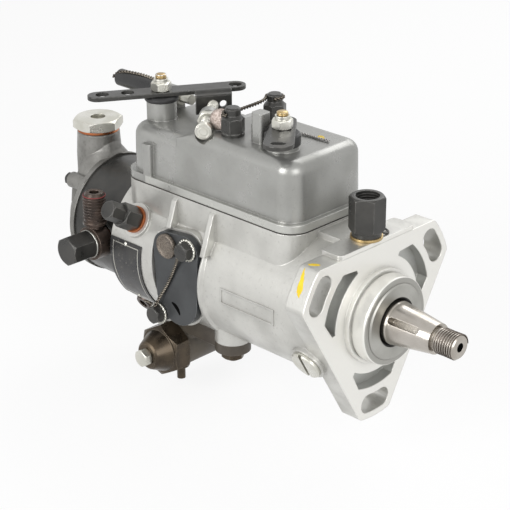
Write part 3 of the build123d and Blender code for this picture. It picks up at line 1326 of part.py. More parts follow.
# Stop shaft, lever and nut
lever_bottom_z = stop_boss_top_z + stop_seal_height + 0.2
lever_top_z = lever_bottom_z + stop_lever_thickness
with BuildPart() as stop_shaft:
    bar(control_collar_radius, shaft_foot_z - 2.5, shaft_foot_z, stop_centre, upwards)
    bar(control_shaft_radius, shaft_foot_z - 2.5, lever_bottom_z, stop_centre, upwards)
    bar(control_stud_radius, lever_bottom_z - 1, lever_top_z + lock_nut_height + 1.8, stop_centre, upwards)
stop_shaft.part.label = "stop_shaft"

with BuildPart() as stop_lever:
    with BuildSketch(stop_plane.offset(lever_bottom_z)):
        with Locations((stop_lever_front - stop_lever_front_half_width, 0)):
            Circle(stop_lever_front_half_width)
        with Locations((-stop_lever_rear + stop_lever_rear_half_width, 0)):
            Circle(stop_lever_rear_half_width)
        make_hull()
        with Locations((stop_slot_offset, 0)):
            SlotOverall(stop_slot_length, stop_slot_width, rotation=90, mode=Mode.SUBTRACT)
        Circle(control_stud_radius + seat_gap, mode=Mode.SUBTRACT)
    extrude(amount=stop_lever_thickness)
stop_lever.part.label = "stop_lever"

with BuildPart() as stop_nut:
    lock_nut(stop_centre, lever_top_z)
stop_nut.part.label = "stop_nut"

# Inspection cover and its screws with their washers
cover_plate_face = window_pad_face + inspection_gasket
with BuildPart() as inspection_cover:
    with BuildSketch(Plane.XZ.offset(cover_plate_face)):
        inspection_outline()
        for screw_x, screw_z in inspection_screw_places:
            with Locations((screw_x, screw_z)):
                Circle(inspection_screw_radius + seat_gap, mode=Mode.SUBTRACT)
    extrude(amount=inspection_plate)
inspection_cover.part.label = "inspection_cover"

inspection_face = cover_plate_face + inspection_plate
with BuildPart() as inspection_screws:
    for screw_x, screw_z in inspection_screw_places:
        place = (screw_x, 0, screw_z)
        bar(inspection_screw_radius, window_pad_face - 5.4, inspection_face, place, near_direction)
        bar(inspection_washer_radius, inspection_face, inspection_face + 1.4, place, near_direction)
        hex_bar(inspection_screw_head, inspection_face + 1, inspection_face + 6.4, place, near_direction,
                1.0)
inspection_screws.part.label = "inspection_screws"

# Lead seals
lead_disc_face = inspection_face
with BuildPart() as lead_seals:
    turn([(lead_disc_face, 0), (lead_disc_face, side_seal_radius),
          (lead_disc_face + 2.2, side_seal_radius), (lead_disc_face + 3, side_seal_radius - 0.9),
          (lead_disc_face + 3, 0)], (side_seal_x, 0, side_seal_z), near_direction)
    turn([(cover_top_z, 0), (cover_top_z, 4.6), (cover_top_z + 0.8, 5.2), (cover_top_z + 3.2, 5.0),
          (cover_top_z + 3.8, 4), (cover_top_z + 3.8, 0)], (top_seal_x, top_seal_y, 0), upwards)
lead_seals.part.label = "lead_seals"

# Locking wires, through the cap nuts and the inspection screws
wire_radius = 0.45
wire_z = cover_top_z + 7


def wire(*points):
    """Round wire through points, its corners rounded."""
    with BuildLine(mode=Mode.PRIVATE) as path:
        FilletPolyline(*points, radius=1.2)
    start = path.line @ 0
    with BuildSketch(Plane(origin=start, z_dir=path.line % 0), mode=Mode.PRIVATE) as section:
        Circle(wire_radius)
    sweep(section.sketch, path=path.line)


with BuildPart() as locking_wires:
    nut_reach = cap_nut_across_flats / 2 + wire_radius
    wire((cap_nut_x + 2, cap_nut_near_y + nut_reach, wire_z),
         (cap_nut_x + 3.5, cap_nut_near_y + 12, wire_z - 2),
         (cap_nut_x + 3.0, cap_nut_far_y - 11, wire_z - 2),
         (cap_nut_x + 2, cap_nut_far_y - nut_reach, wire_z))
    wire_face = -inspection_face - wire_radius - 2
    wire((inspection_screw_x - 5.3, wire_face, inspection_screw_z),
         (inspection_screw_x - 7.4, wire_face + 0.5, inspection_screw_z),
         (side_seal_x + side_seal_radius + 0.7, wire_face + 1, side_seal_z))
    wire((side_seal_x - 2.5, wire_face + 1, side_seal_z - 8),
         (side_seal_x - 4.5, wire_face + 1, side_seal_z - 18),
         (inspection_ear_x + 2, wire_face, inspection_ear_z + 6))
locking_wires.part.label = "locking_wires"

# Blank data plate wrapped on the barrel, with its rivet
with BuildPart() as data_plate:
    with BuildSketch(Plane.YZ.offset(plate_rear_x)):
        with BuildLine():
            inner_arc = CenterArc((0, 0), barrel_rear_radius + 0.02, 180 - plate_top_angle,
                                  plate_top_angle - plate_bottom_angle)
            outer_arc = CenterArc((0, 0), barrel_rear_radius + plate_thickness, 180 - plate_top_angle,
                                  plate_top_angle - plate_bottom_angle)
            Line(inner_arc @ 0, outer_arc @ 0)
            Line(inner_arc @ 1, outer_arc @ 1)
        make_face()
    extrude(amount=plate_front_x - plate_rear_x)
data_plate.part.label = "data_plate"

# Return adapter on the flange's pad with its brass washer
adapter_centre = (adapter_x, adapter_y, 0)
adapter_base_z = pad_top_z + washer_thickness
adapter_top_z = adapter_base_z + adapter_height
with BuildPart() as return_adapter:
    bar(adapter_shank_radius - seat_gap, pad_top_z - 8, adapter_base_z + 1, adapter_centre, upwards)
    bar(adapter_across_flats / 2 - 0.6, adapter_base_z, adapter_base_z + adapter_neck + 1, adapter_centre,
        upwards)
    hex_bar(adapter_across_flats, adapter_base_z + adapter_neck, adapter_top_z, adapter_centre, upwards, 1.2,
            adapter_turn)
    bar(adapter_thread_radius, adapter_top_z - 12, adapter_top_z + 1, adapter_centre, upwards, Mode.SUBTRACT)
    bar(2.5, pad_top_z - 9, adapter_top_z, adapter_centre, upwards, Mode.SUBTRACT)
return_adapter.part.label = "return_adapter"

with BuildPart() as return_washer:
    turn([(pad_top_z, adapter_shank_radius + seat_gap), (pad_top_z, adapter_washer_radius),
          (adapter_base_z, adapter_washer_radius), (adapter_base_z, adapter_shank_radius + seat_gap)],
         adapter_centre, upwards)
return_washer.part.label = "return_washer"

# Governor spring, hooked on the arm
with BuildPart() as governor_spring:
    with BuildLine() as governor_coil:
        Helix(4.8, 48, spring_coil_radius, center=(0, 0, 0))
    with BuildSketch(Plane(origin=governor_coil.line @ 0, z_dir=governor_coil.line % 0)):
        RegularPolygon(spring_wire_radius, 6)
    sweep()
spring_place = (arm_x - arm_thickness / 2 - 1.2, -0.5, arm_top_z - 4)
governor_spring.part = Plane(origin=spring_place, z_dir=(-1, 0, 0)) * governor_spring.part
governor_spring.part.label = "governor_spring"

sub_parts = [
    pump_housing, neck_plug, seal_retainer, shaft_seal, drive_bush, drive_shaft, weight_retainer, *flyweights,
    thrust_sleeve, governor_arm, governor_spring, control_bracket, link_rod, metering_valve, drive_plate,
    distributor_rotor, plungers_and_shoes, transfer_rotor, transfer_pump_liner, cam_ring,
    cam_advance_pin, hydraulic_head, end_plate, end_plate_screws, inlet_plug, outlet_banjo_bolts,
    outlet_banjos, copper_washers, head_lock_screw, advance_housing, advance_spring_cap,
    advance_end_bolt, advance_end_plug, advance_piston, advance_spring, advance_stud_nut,
    locating_fitting, governor_cover, gaskets, cover_studs, cover_cap_nuts, speed_screws,
    max_speed_sleeve, control_shaft_seals, throttle_shaft, throttle_arm, throttle_nut, stop_shaft,
    stop_lever, stop_nut, inspection_cover, inspection_screws, lead_seals, locking_wires, data_plate,
    return_adapter, return_washer,
]
os.makedirs("parts", exist_ok=True)
for piece in sub_parts:
    export_step(piece.part, f"parts/{piece.part.label}.step")
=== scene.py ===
"""Studio scene of the diesel injection pump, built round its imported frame."""

import json
import logging
import math
import random
from dataclasses import dataclass, field
from enum import Enum

import bmesh
import bpy
from mathutils import Matrix, Vector
from mathutils.bvhtree import BVHTree

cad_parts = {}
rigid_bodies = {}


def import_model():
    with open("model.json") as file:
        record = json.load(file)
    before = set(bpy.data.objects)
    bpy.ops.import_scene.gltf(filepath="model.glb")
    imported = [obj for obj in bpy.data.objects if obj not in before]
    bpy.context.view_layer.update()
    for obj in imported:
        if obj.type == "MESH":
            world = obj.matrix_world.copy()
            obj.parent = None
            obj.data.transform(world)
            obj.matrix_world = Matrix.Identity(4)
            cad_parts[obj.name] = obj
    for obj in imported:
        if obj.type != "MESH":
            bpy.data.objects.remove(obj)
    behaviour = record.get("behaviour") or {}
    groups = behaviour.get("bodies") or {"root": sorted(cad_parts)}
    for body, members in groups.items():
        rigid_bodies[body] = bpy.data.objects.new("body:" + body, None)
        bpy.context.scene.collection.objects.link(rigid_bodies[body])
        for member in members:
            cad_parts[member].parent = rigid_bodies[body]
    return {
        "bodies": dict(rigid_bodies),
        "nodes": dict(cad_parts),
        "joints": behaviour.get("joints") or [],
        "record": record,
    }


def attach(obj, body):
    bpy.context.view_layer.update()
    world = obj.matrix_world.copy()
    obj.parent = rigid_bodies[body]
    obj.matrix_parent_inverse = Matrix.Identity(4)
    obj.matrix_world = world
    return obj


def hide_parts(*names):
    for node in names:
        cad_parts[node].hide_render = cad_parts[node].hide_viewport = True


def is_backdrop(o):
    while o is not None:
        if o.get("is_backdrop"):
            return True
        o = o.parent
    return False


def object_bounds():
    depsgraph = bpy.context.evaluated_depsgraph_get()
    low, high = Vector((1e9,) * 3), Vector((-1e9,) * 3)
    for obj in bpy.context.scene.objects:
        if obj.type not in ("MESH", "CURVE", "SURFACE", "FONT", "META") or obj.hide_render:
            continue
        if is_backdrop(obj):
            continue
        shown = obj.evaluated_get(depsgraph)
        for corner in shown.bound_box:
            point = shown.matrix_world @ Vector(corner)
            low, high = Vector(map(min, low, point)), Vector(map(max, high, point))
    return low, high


LOG = logging.getLogger("pump")
MM = 0.001

# How a patch is laid on a surface: metres, then millimetres
RAY_START = 0.006
RAY_REACH = 0.02
UNDERSIDE_LIFT = 0.01
PATCH_HEIGHT = 0.1

# Distances under which bmesh joins or drops geometry, in metres
WELD = 1e-7
SLIVER = 1e-8
PLATE_WELD = 1e-6

# Degrees from one point of a hole or of a bar's round end to the next
HOLE_STEP = 10
END_STEP = 15

# How far a paint patch's rim strays, as a share of its size
RIM_SHAKE = 0.16

BEVEL_SAMPLES = 6
SHADE_SAMPLES = 4


class Axis(Enum):
    """Named directions of the pump's frame."""

    SHAFT = (1.0, 0.0, 0.0)
    NEAR = (0.0, -1.0, 0.0)
    UP = (0.0, 0.0, 1.0)


@dataclass
class StudioCamera:
    """Camera that stands where the photograph was taken.

    The position is in metres and the angles in degrees.
    """

    position: tuple = (0.5074, -0.6056, 0.3878)
    azimuth: float = 44.713
    elevation: float = 24.094
    roll: float = -0.367
    focal_pixels: float = 1627.29
    frame_pixels: float = 510.0
    centre_pixels: tuple = (255.34, 254.77)
    sensor: float = 36.0

    def back(self) -> Vector:
        """Work out where the camera is from the pump.

        Returns:
            The direction from the pump to the camera.
        """
        azimuth = math.radians(self.azimuth)
        elevation = math.radians(self.elevation)
        level = math.cos(elevation)
        return Vector((math.sin(azimuth) * level, -math.cos(azimuth) * level, math.sin(elevation)))

    def build(self) -> bpy.types.Object:
        """Make the camera and hand it to the scene.

        Returns:
            The camera object.
        """
        data = bpy.data.cameras.new("photo_camera")
        data.sensor_width = self.sensor
        data.lens = self.focal_pixels / self.frame_pixels * self.sensor
        data.shift_x = (self.frame_pixels / 2 - self.centre_pixels[0]) / self.frame_pixels
        data.shift_y = (self.centre_pixels[1] - self.frame_pixels / 2) / self.frame_pixels
        data.clip_start = 0.05
        data.clip_end = 20.0
        camera = bpy.data.objects.new("photo_camera", data)
        bpy.context.scene.collection.objects.link(camera)
        facing = (-self.back()).to_track_quat("-Z", "Y").to_matrix().to_4x4()
        tilt = Matrix.Rotation(math.radians(self.roll), 4, "Z")
        camera.matrix_world = Matrix.Translation(self.position) @ facing @ tilt
        bpy.context.scene.camera = camera
        return camera


@dataclass
class Studio:
    """White floor, soft lamps and a pale world round the pump.

    Each lamp has its name, place, side in metres and power in watts.
    """

    floor_gap: float = 0.0005
    floor_size: float = 6.0
    floor_colour: tuple = (0.93, 0.93, 0.93)
    floor_white: float = 0.86
    world_strength: float = 0.52
    aim: tuple = (-0.08, 0.0, 0.0)
    lamps: tuple = (("key", (-0.15, -1.05, 0.42), 0.7, 8.6), ("fill", (1.0, -0.35, 0.45), 0.8, 7.0),
                    ("rim", (-0.3, 0.9, 0.8), 0.8, 5.0))

    def white_paths(self, tree: bpy.types.NodeTree) -> bpy.types.NodeSocket:
        """Tell the rays that see the background: camera, glossy and transmission rays.

        Args:
            tree: node tree of the floor or the world.

        Returns:
            A value of 1 for those rays, and 0 for the others.
        """
        path = tree.nodes.new("ShaderNodeLightPath").outputs
        seen = math_node(tree, "MAXIMUM", path["Is Camera Ray"], path["Is Glossy Ray"])
        return math_node(tree, "MAXIMUM", seen, path["Is Transmission Ray"])

    def floor(self, lowest: float) -> None:
        """Lay the floor just under the pump.

        Args:
            lowest: height of the pump's lowest point, in metres.
        """
        mesh = bpy.data.meshes.new("floor")
        half = self.floor_size / 2
        height = lowest - self.floor_gap
        corners = [(-half, -half, height), (half, -half, height), (half, half, height),
                   (-half, half, height)]
        mesh.from_pydata(corners, [], [(0, 1, 2, 3)])
        floor = bpy.data.objects.new("floor", mesh)
        bpy.context.scene.collection.objects.link(floor)
        material = bpy.data.materials.new("floor")
        material.use_nodes = True
        tree = material.node_tree
        tree.nodes.clear()
        output = tree.nodes.new("ShaderNodeOutputMaterial")
        diffuse = tree.nodes.new("ShaderNodeBsdfDiffuse")
        diffuse.inputs["Color"].default_value = (*self.floor_colour, 1.0)
        glow = tree.nodes.new("ShaderNodeEmission")
        glow.inputs["Color"].default_value = (1.0, 1.0, 1.0, 1.0)
        glow.inputs["Strength"].default_value = 1.0
        share = math_node(tree, "MULTIPLY", self.white_paths(tree), self.floor_white)
        mixer = tree.nodes.new("ShaderNodeMixShader")
        tree.links.new(share, mixer.inputs["Fac"])
        tree.links.new(diffuse.outputs["BSDF"], mixer.inputs[1])
        tree.links.new(glow.outputs["Emission"], mixer.inputs[2])
        tree.links.new(mixer.outputs["Shader"], output.inputs["Surface"])
        mesh.materials.append(material)
        floor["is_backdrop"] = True

    def world(self) -> None:
        """Make a world that is seen white and that lights the pump softly."""
        world = bpy.data.worlds.new("studio")
        bpy.context.scene.world = world
        world.use_nodes = True
        tree = world.node_tree
        tree.nodes.clear()
        output = tree.nodes.new("ShaderNodeOutputWorld")
        lamp = tree.nodes.new("ShaderNodeBackground")
        lamp.inputs["Strength"].default_value = self.world_strength
        seen = tree.nodes.new("ShaderNodeBackground")
        seen.inputs["Strength"].default_value = 1.0
        seen.inputs["Color"].default_value = (1.0, 1.0, 1.0, 1.0)
        mixer = tree.nodes.new("ShaderNodeMixShader")
        tree.links.new(self.white_paths(tree), mixer.inputs["Fac"])
        tree.links.new(lamp.outputs["Background"], mixer.inputs[1])
        tree.links.new(seen.outputs["Background"], mixer.inputs[2])
        tree.links.new(mixer.outputs["Shader"], output.inputs["Surface"])

    def lamp(self, name: str, place: tuple, size: float, energy: float) -> None:
        """Hang one soft lamp that faces the pump.

        Args:
            name: name of the lamp.
            place: where it hangs, in metres.
            size: side of its square, in metres.
            energy: its power, in watts.
        """
        data = bpy.data.lights.new(name, "AREA")
        data.shape = "SQUARE"
        data.size = size
        data.energy = energy
        lamp = bpy.data.objects.new(name, data)
        lamp.location = place
        lamp.rotation_mode = "QUATERNION"
        lamp.rotation_quaternion = (Vector(self.aim) - Vector(place)).to_track_quat("-Z", "Y")
        bpy.context.scene.collection.objects.link(lamp)

    def build(self, lowest: float) -> None:
        """Build the floor, the world and the lamps.

        Args:
            lowest: height of the pump's lowest point, in metres.
        """
        self.floor(lowest)
        self.world()
        for name, place, size, energy in self.lamps:
            self.lamp(name, place, size, energy)


def add_input(tree: bpy.types.NodeTree, name: str, kind: str, default: object = None) -> None:
    """Add one named input to a node group.

    Args:
        tree: the group.
        name: the input's name.
        kind: Blender's socket type.
        default: its value where nothing is linked.
    """
    socket = tree.interface.new_socket(name=name, in_out="INPUT", socket_type=kind)
    if default is not None:
        socket.default_value = default


def add_output(tree: bpy.types.NodeTree, name: str, kind: str) -> None:
    """Add one named output to a node group.

    Args:
        tree: the group.
        name: the output's name.
        kind: Blender's socket type.
    """
    tree.interface.new_socket(name=name, in_out="OUTPUT", socket_type=kind)


def math_node(tree: bpy.types.NodeTree, operation: str, *values: object) -> bpy.types.NodeSocket:
    """Add a Math node fed by sockets or numbers.

    Args:
        tree: the tree that gets the node.
        operation: the node's operation.
        values: what goes into it, each a socket or a number.

    Returns:
        The node's result.
    """
    node = tree.nodes.new("ShaderNodeMath")
    node.operation = operation
    for number, value in enumerate(values):
        if isinstance(value, bpy.types.NodeSocket):
            tree.links.new(value, node.inputs[number])
        else:
            node.inputs[number].default_value = value
    return node.outputs["Value"]


def colour_mix(tree: bpy.types.NodeTree, mask: bpy.types.NodeSocket, under: object,
               over: object) -> bpy.types.NodeSocket:
    """Lay one colour over another where a mask says so.

    Args:
        tree: the tree that gets the node.
        mask: how much of the upper colour shows.
        under: lower colour, a socket or three numbers.
        over: upper colour, a socket or three numbers.

    Returns:
        The mixed colour.
    """
    node = tree.nodes.new("ShaderNodeMix")
    node.data_type = "RGBA"
    tree.links.new(mask, node.inputs["Factor"])
    colours = [socket for socket in node.inputs if socket.type == "RGBA"]
    for socket, value in zip(colours, (under, over)):
        if isinstance(value, bpy.types.NodeSocket):
            tree.links.new(value, socket)
        else:
            socket.default_value = (*value, 1.0)
    return next(socket for socket in node.outputs if socket.type == "RGBA")


def spread(tree: bpy.types.NodeTree, value: bpy.types.NodeSocket, low: float, high: float,
           to_low: float = 0.0, to_high: float = 1.0) -> bpy.types.NodeSocket:
    """Stretch a value from one range to another and clamp it.

    Args:
        tree: the tree that gets the node.
        value: the value.
        low: where the range starts.
        high: where the range ends.
        to_low: what the start becomes.
        to_high: what the end becomes.

    Returns:
        The stretched value.
    """
    node = tree.nodes.new("ShaderNodeMapRange")
    tree.links.new(value, node.inputs["Value"])
    for name, number in (("From Min", low), ("From Max", high), ("To Min", to_low), ("To Max", to_high)):
        node.inputs[name].default_value = number
    return node.outputs["Result"]


def object_point(tree: bpy.types.NodeTree) -> bpy.types.bpy_prop_collection:
    """Split the shaded point, in the object's own space.

    Args:
        tree: the tree that gets the nodes.

    Returns:
        The sockets X, Y and Z.
    """
    place = tree.nodes.new("ShaderNodeTexCoord")
    parts = tree.nodes.new("ShaderNodeSeparateXYZ")
    tree.links.new(place.outputs["Object"], parts.inputs["Vector"])
    return parts.outputs


def shaft_distance(tree: bpy.types.NodeTree, point: bpy.types.bpy_prop_collection) -> bpy.types.NodeSocket:
    """Measure how far a point is from the shaft's axis.

    Args:
        tree: the tree that gets the nodes.
        point: the sockets X, Y and Z.

    Returns:
        The distance.
    """
    across = math_node(tree, "MULTIPLY", point["Y"], point["Y"])
    upright = math_node(tree, "MULTIPLY", point["Z"], point["Z"])
    return math_node(tree, "SQRT", math_node(tree, "ADD", across, upright))


def noise(tree: bpy.types.NodeTree, scale: bpy.types.NodeSocket, detail: float,
          vector: bpy.types.NodeSocket | None = None) -> bpy.types.NodeSocket:
    """Add a noise texture.

    Args:
        tree: the tree that gets the nodes.
        scale: the noise's scale.
        detail: its detail.
        vector: the point to look up, or none for the object's own space.

    Returns:
        The noise's value.
    """
    texture = tree.nodes.new("ShaderNodeTexNoise")
    texture.inputs["Detail"].default_value = detail
    if vector is None:
        vector = tree.nodes.new("ShaderNodeTexCoord").outputs["Object"]
    tree.links.new(vector, texture.inputs["Vector"])
    tree.links.new(scale, texture.inputs["Scale"])
    return texture.outputs["Fac"]


class ShaderLibrary:
    """Shader groups that several finishes share, each made once."""

    def __init__(self) -> None:
        """Make every group."""
        self.grain = self.make_grain()
        self.wear = self.make_wear()
        self.shade_and_grime = self.make_shade_and_grime()
        self.turning = self.make_turning()

    def start(self, name: str, inputs: tuple, outputs: tuple) -> bpy.types.NodeTree:
        """Start a shader group.

        Args:
            name: the group's name.
            inputs: name and default of each number that goes in.
            outputs: name of each value that comes out.

        Returns:
            The group with its two end nodes.
        """
        group = bpy.data.node_groups.new(name, "ShaderNodeTree")
        for label, default in inputs:
            add_input(group, label, "NodeSocketFloat", default)
        for label in outputs:
            add_output(group, label, "NodeSocketFloat")
        group.nodes.new("NodeGroupInput").name = "in"
        group.nodes.new("NodeGroupOutput").name = "out"
        return group

    def make_grain(self) -> bpy.types.NodeTree:
        """Make the group of a fine cast or moulded grain, its patches and its specks.

        Returns:
            The group.
        """
        inputs = (("Fine Scale", 900.0), ("Coarse Scale", 60.0), ("Coarse Share", 0.4))
        group = self.start("surface_grain", inputs, ("Height", "Patches", "Specks"))
        links = group.links
        given = group.nodes["in"].outputs
        result = group.nodes["out"].inputs
        fine = noise(group, given["Fine Scale"], 4.0)
        coarse = noise(group, given["Coarse Scale"], 6.0)
        specks = noise(group, math_node(group, "MULTIPLY", given["Fine Scale"], 0.7), 2.0)
        blend = group.nodes.new("ShaderNodeMix")
        blend.data_type = "FLOAT"
        links.new(given["Coarse Share"], blend.inputs["Factor"])
        links.new(fine, blend.inputs["A"])
        links.new(coarse, blend.inputs["B"])
        links.new(blend.outputs["Result"], result["Height"])
        links.new(spread(group, coarse, 0.35, 0.65), result["Patches"])
        links.new(spread(group, specks, 0.62, 0.72), result["Specks"])
        return group

    def make_wear(self) -> bpy.types.NodeTree:
        """Make the group that finds worn outer edges.

        Returns:
            The group.
        """
        group = self.start("edge_wear", (("Radius", 0.0006), ("Break Up", 350.0)), ("Wear",))
        links = group.links
        given = group.nodes["in"].outputs
        bevel = group.nodes.new("ShaderNodeBevel")
        bevel.samples = BEVEL_SAMPLES
        links.new(given["Radius"], bevel.inputs["Radius"])
        surface = group.nodes.new("ShaderNodeNewGeometry")
        dot = group.nodes.new("ShaderNodeVectorMath")
        dot.operation = "DOT_PRODUCT"
        links.new(bevel.outputs["Normal"], dot.inputs[0])
        links.new(surface.outputs["Normal"], dot.inputs[1])
        edge = spread(group, dot.outputs["Value"], 0.985, 0.90)
        broken = spread(group, noise(group, given["Break Up"], 5.0), 0.35, 0.6, 0.15, 1.0)
        links.new(math_node(group, "MULTIPLY", edge, broken), group.nodes["out"].inputs["Wear"])
        return group

    def make_shade_and_grime(self) -> bpy.types.NodeTree:
        """Make the group that paints shade, with dirt, into corners and crevices that ambient occlusion
        finds.

        Returns:
            The group.
        """
        group = self.start("corner_shade_and_grime", (("Reach", 0.004), ("Break Up", 120.0)), ("Shade And Grime",))
        links = group.links
        given = group.nodes["in"].outputs
        # Ambient occlusion finds where shade falls; the colour laid there is painted shade together with
        # dirt.
        shade = group.nodes.new("ShaderNodeAmbientOcclusion")
        shade.samples = SHADE_SAMPLES
        links.new(given["Reach"], shade.inputs["Distance"])
        corner = spread(group, shade.outputs["AO"], 0.85, 0.35)
        broken = spread(group, noise(group, given["Break Up"], 6.0), 0.3, 0.65, 0.3, 1.0)
        links.new(math_node(group, "MULTIPLY", corner, broken), group.nodes["out"].inputs["Shade And Grime"])
        return group

    def make_turning(self) -> bpy.types.NodeTree:
        """Make the group of fine lathe lines round the shaft's axis.

        Returns:
            The group.
        """
        group = self.start("lathe_lines", (("Scale", 2200.0),), ("Height",))
        links = group.links
        point = object_point(group)
        joined = group.nodes.new("ShaderNodeCombineXYZ")
        links.new(point["X"], joined.inputs["X"])
        links.new(shaft_distance(group, point), joined.inputs["Y"])
        lines = noise(group, group.nodes["in"].outputs["Scale"], 3.0, joined.outputs["Vector"])
        links.new(lines, group.nodes["out"].inputs["Height"])
        return group


@dataclass(frozen=True)
class Finish:
    """A surface finish with grain, patches, worn edges, and painted shade with dirt in its corners.

    Colours are linear, lengths are in metres.
    """

    name: str
    colour: tuple
    second: tuple
    metallic: float = 0.0
    roughness: float = 0.5
    roughness_spread: float = 0.1
    grain_scale: float = 900.0
    patch_scale: float = 45.0
    coarse_share: float = 0.3
    depth: float = 0.00006
    strength: float = 0.5
    edge_radius: float = 0.0006
    speck: float = 0.0
    speck_colour: tuple = (0.1, 0.1, 0.1)
    wear: float = 0.0
    wear_colour: tuple = (0.35, 0.34, 0.32)
    # Corner darkening: painted shade together with dirt, found by ambient occlusion.
    shade_and_grime: float = 0.0
    shade_and_grime_colour: tuple = (0.06, 0.055, 0.05)
    shade_and_grime_reach: float = 0.004
    specular: float = 0.5
    turned: float = 0.0

    def group(self, tree: bpy.types.NodeTree, group: bpy.types.NodeTree, **values: float) -> bpy.types.Node:
        """Place a shared group in the material.

        Args:
            tree: the material's node tree.
            group: the shared group.
            values: its inputs, with underscores for blanks.

        Returns:
            The group node.
        """
        node = tree.nodes.new("ShaderNodeGroup")
        node.node_tree = group
        for name, value in values.items():
            node.inputs[name.replace("_", " ")].default_value = value
        return node

    def zones(self, tree: bpy.types.NodeTree, colour: bpy.types.NodeSocket,
              rough: bpy.types.NodeSocket) -> tuple:
        """Return colour and roughness changed where the piece has machined or stained zones.

        Args:
            tree: the material's node tree.
            colour: the colour so far.
            rough: the roughness so far.

        Returns:
            The colour and the roughness.
        """
        return colour, rough

    def build(self, library: ShaderLibrary) -> bpy.types.Material:
        """Make the material.

        Args:
            library: the shared shader groups.

        Returns:
            The material.
        """
        material = bpy.data.materials.new(self.name)
        material.use_nodes = True
        tree = material.node_tree
        links = tree.links
        tree.nodes.clear()
        output = tree.nodes.new("ShaderNodeOutputMaterial")
        shader = tree.nodes.new("ShaderNodeBsdfPrincipled")
        shader.inputs["Metallic"].default_value = self.metallic
        shader.inputs["Specular IOR Level"].default_value = self.specular
        grain = self.group(tree, library.grain, Fine_Scale=self.grain_scale, Coarse_Scale=self.patch_scale,
                           Coarse_Share=self.coarse_share)
        colour = colour_mix(tree, grain.outputs["Patches"], self.colour, self.second)
        rough = spread(tree, grain.outputs["Patches"], 0.0, 1.0,
                       max(0.03, self.roughness - self.roughness_spread),
                       min(1.0, self.roughness + self.roughness_spread))
        if self.speck > 0:
            specks = math_node(tree, "MULTIPLY", grain.outputs["Specks"], self.speck)
            colour = colour_mix(tree, specks, colour, self.speck_colour)
        colour, rough = self.zones(tree, colour, rough)
        if self.wear > 0:
            wear = self.group(tree, library.wear, Radius=self.edge_radius)
            amount = math_node(tree, "MULTIPLY", wear.outputs["Wear"], self.wear)
            colour = colour_mix(tree, amount, colour, self.wear_colour)
        # Corners found by ambient occlusion get painted shade together with dirt.
        if self.shade_and_grime > 0:
            shade_and_grime = self.group(tree, library.shade_and_grime, Reach=self.shade_and_grime_reach)
            amount = math_node(tree, "MULTIPLY", shade_and_grime.outputs["Shade And Grime"], self.shade_and_grime)
            colour = colour_mix(tree, amount, colour, self.shade_and_grime_colour)
        links.new(colour, shader.inputs["Base Color"])
        links.new(rough, shader.inputs["Roughness"])
        height = grain.outputs["Height"]
        if self.turned > 0:
            lines = self.group(tree, library.turning)
            raised = math_node(tree, "MULTIPLY", lines.outputs["Height"], self.turned)
            height = math_node(tree, "ADD", height, raised)
        bump = tree.nodes.new("ShaderNodeBump")
        bump.inputs["Distance"].default_value = self.depth
        bump.inputs["Strength"].default_value = self.strength
        links.new(height, bump.inputs["Height"])
        if self.edge_radius > 0:
            soft_edge = tree.nodes.new("ShaderNodeBevel")
            soft_edge.samples = BEVEL_SAMPLES
            soft_edge.inputs["Radius"].default_value = self.edge_radius
            links.new(soft_edge.outputs["Normal"], bump.inputs["Normal"])
        links.new(bump.outputs["Normal"], shader.inputs["Normal"])
        links.new(shader.outputs["BSDF"], output.inputs["Surface"])
        return material


@dataclass(frozen=True)
class HousingFinish(Finish):
    """Cast alloy of the housing, machined on the flange face and the spigot."""

    machined_from: float = -0.0006
    machined_colour: tuple = (0.78, 0.77, 0.73)
    machined_roughness: float = 0.34
    front_from: float = 0.0121
    front_colour: tuple = (0.34, 0.335, 0.31)
    stain_below: float = -0.0435
    stain_behind: float = -0.02
    stain_colour: tuple = (0.12, 0.10, 0.075)
    stain_share: float = 0.9
    lobes: float = 3.0
    # The pocket colour is painted shade in the three recessed pockets behind the flange face.
    pocket_shade_colour: tuple = (0.47, 0.475, 0.455)
    pocket_inner: float = 0.0334
    pocket_outer: float = 0.0433
    pocket_depth: float = -0.0072
    pocket_shade_share: float = 0.8
    waist_limit: float = -0.35

    def zones(self, tree: bpy.types.NodeTree, colour: bpy.types.NodeSocket,
              rough: bpy.types.NodeSocket) -> tuple:
        """Lay the machined face, the stain and the painted shade in the pockets over.

        Args:
            tree: the material's node tree.
            colour: the colour so far.
            rough: the roughness so far.

        Returns:
            The colour and the roughness.
        """
        point = object_point(tree)
        along = point["X"]
        radius = shaft_distance(tree, point)
        face = math_node(tree, "GREATER_THAN", along, self.machined_from)
        colour = colour_mix(tree, face, colour, self.machined_colour)
        front = math_node(tree, "GREATER_THAN", along, self.front_from)
        colour = colour_mix(tree, front, colour, self.front_colour)
        low = math_node(tree, "LESS_THAN", point["Z"], self.stain_below)
        rear = math_node(tree, "LESS_THAN", along, self.stain_behind)
        stain = math_node(tree, "MULTIPLY", math_node(tree, "MULTIPLY", low, rear), self.stain_share)
        colour = colour_mix(tree, stain, colour, self.stain_colour)
        smoother = tree.nodes.new("ShaderNodeMix")
        smoother.data_type = "FLOAT"
        tree.links.new(face, smoother.inputs["Factor"])
        tree.links.new(rough, smoother.inputs["A"])
        smoother.inputs["B"].default_value = self.machined_roughness
        # Painted shade in the three pockets behind the flange face.
        turn = math_node(tree, "ARCTAN2", point["Z"], point["Y"])
        lobes = math_node(tree, "SINE", math_node(tree, "MULTIPLY", turn, self.lobes))
        zone = math_node(tree, "GREATER_THAN", lobes, self.waist_limit)
        for test, value, limit in (("GREATER_THAN", radius, self.pocket_inner),
                                   ("LESS_THAN", radius, self.pocket_outer),
                                   ("GREATER_THAN", along, self.pocket_depth),
                                   ("LESS_THAN", along, self.machined_from)):
            zone = math_node(tree, "MULTIPLY", zone, math_node(tree, test, value, limit))
        pocket_shade = math_node(tree, "MULTIPLY", zone, self.pocket_shade_share)
        return colour_mix(tree, pocket_shade, colour, self.pocket_shade_colour), smoother.outputs["Result"]


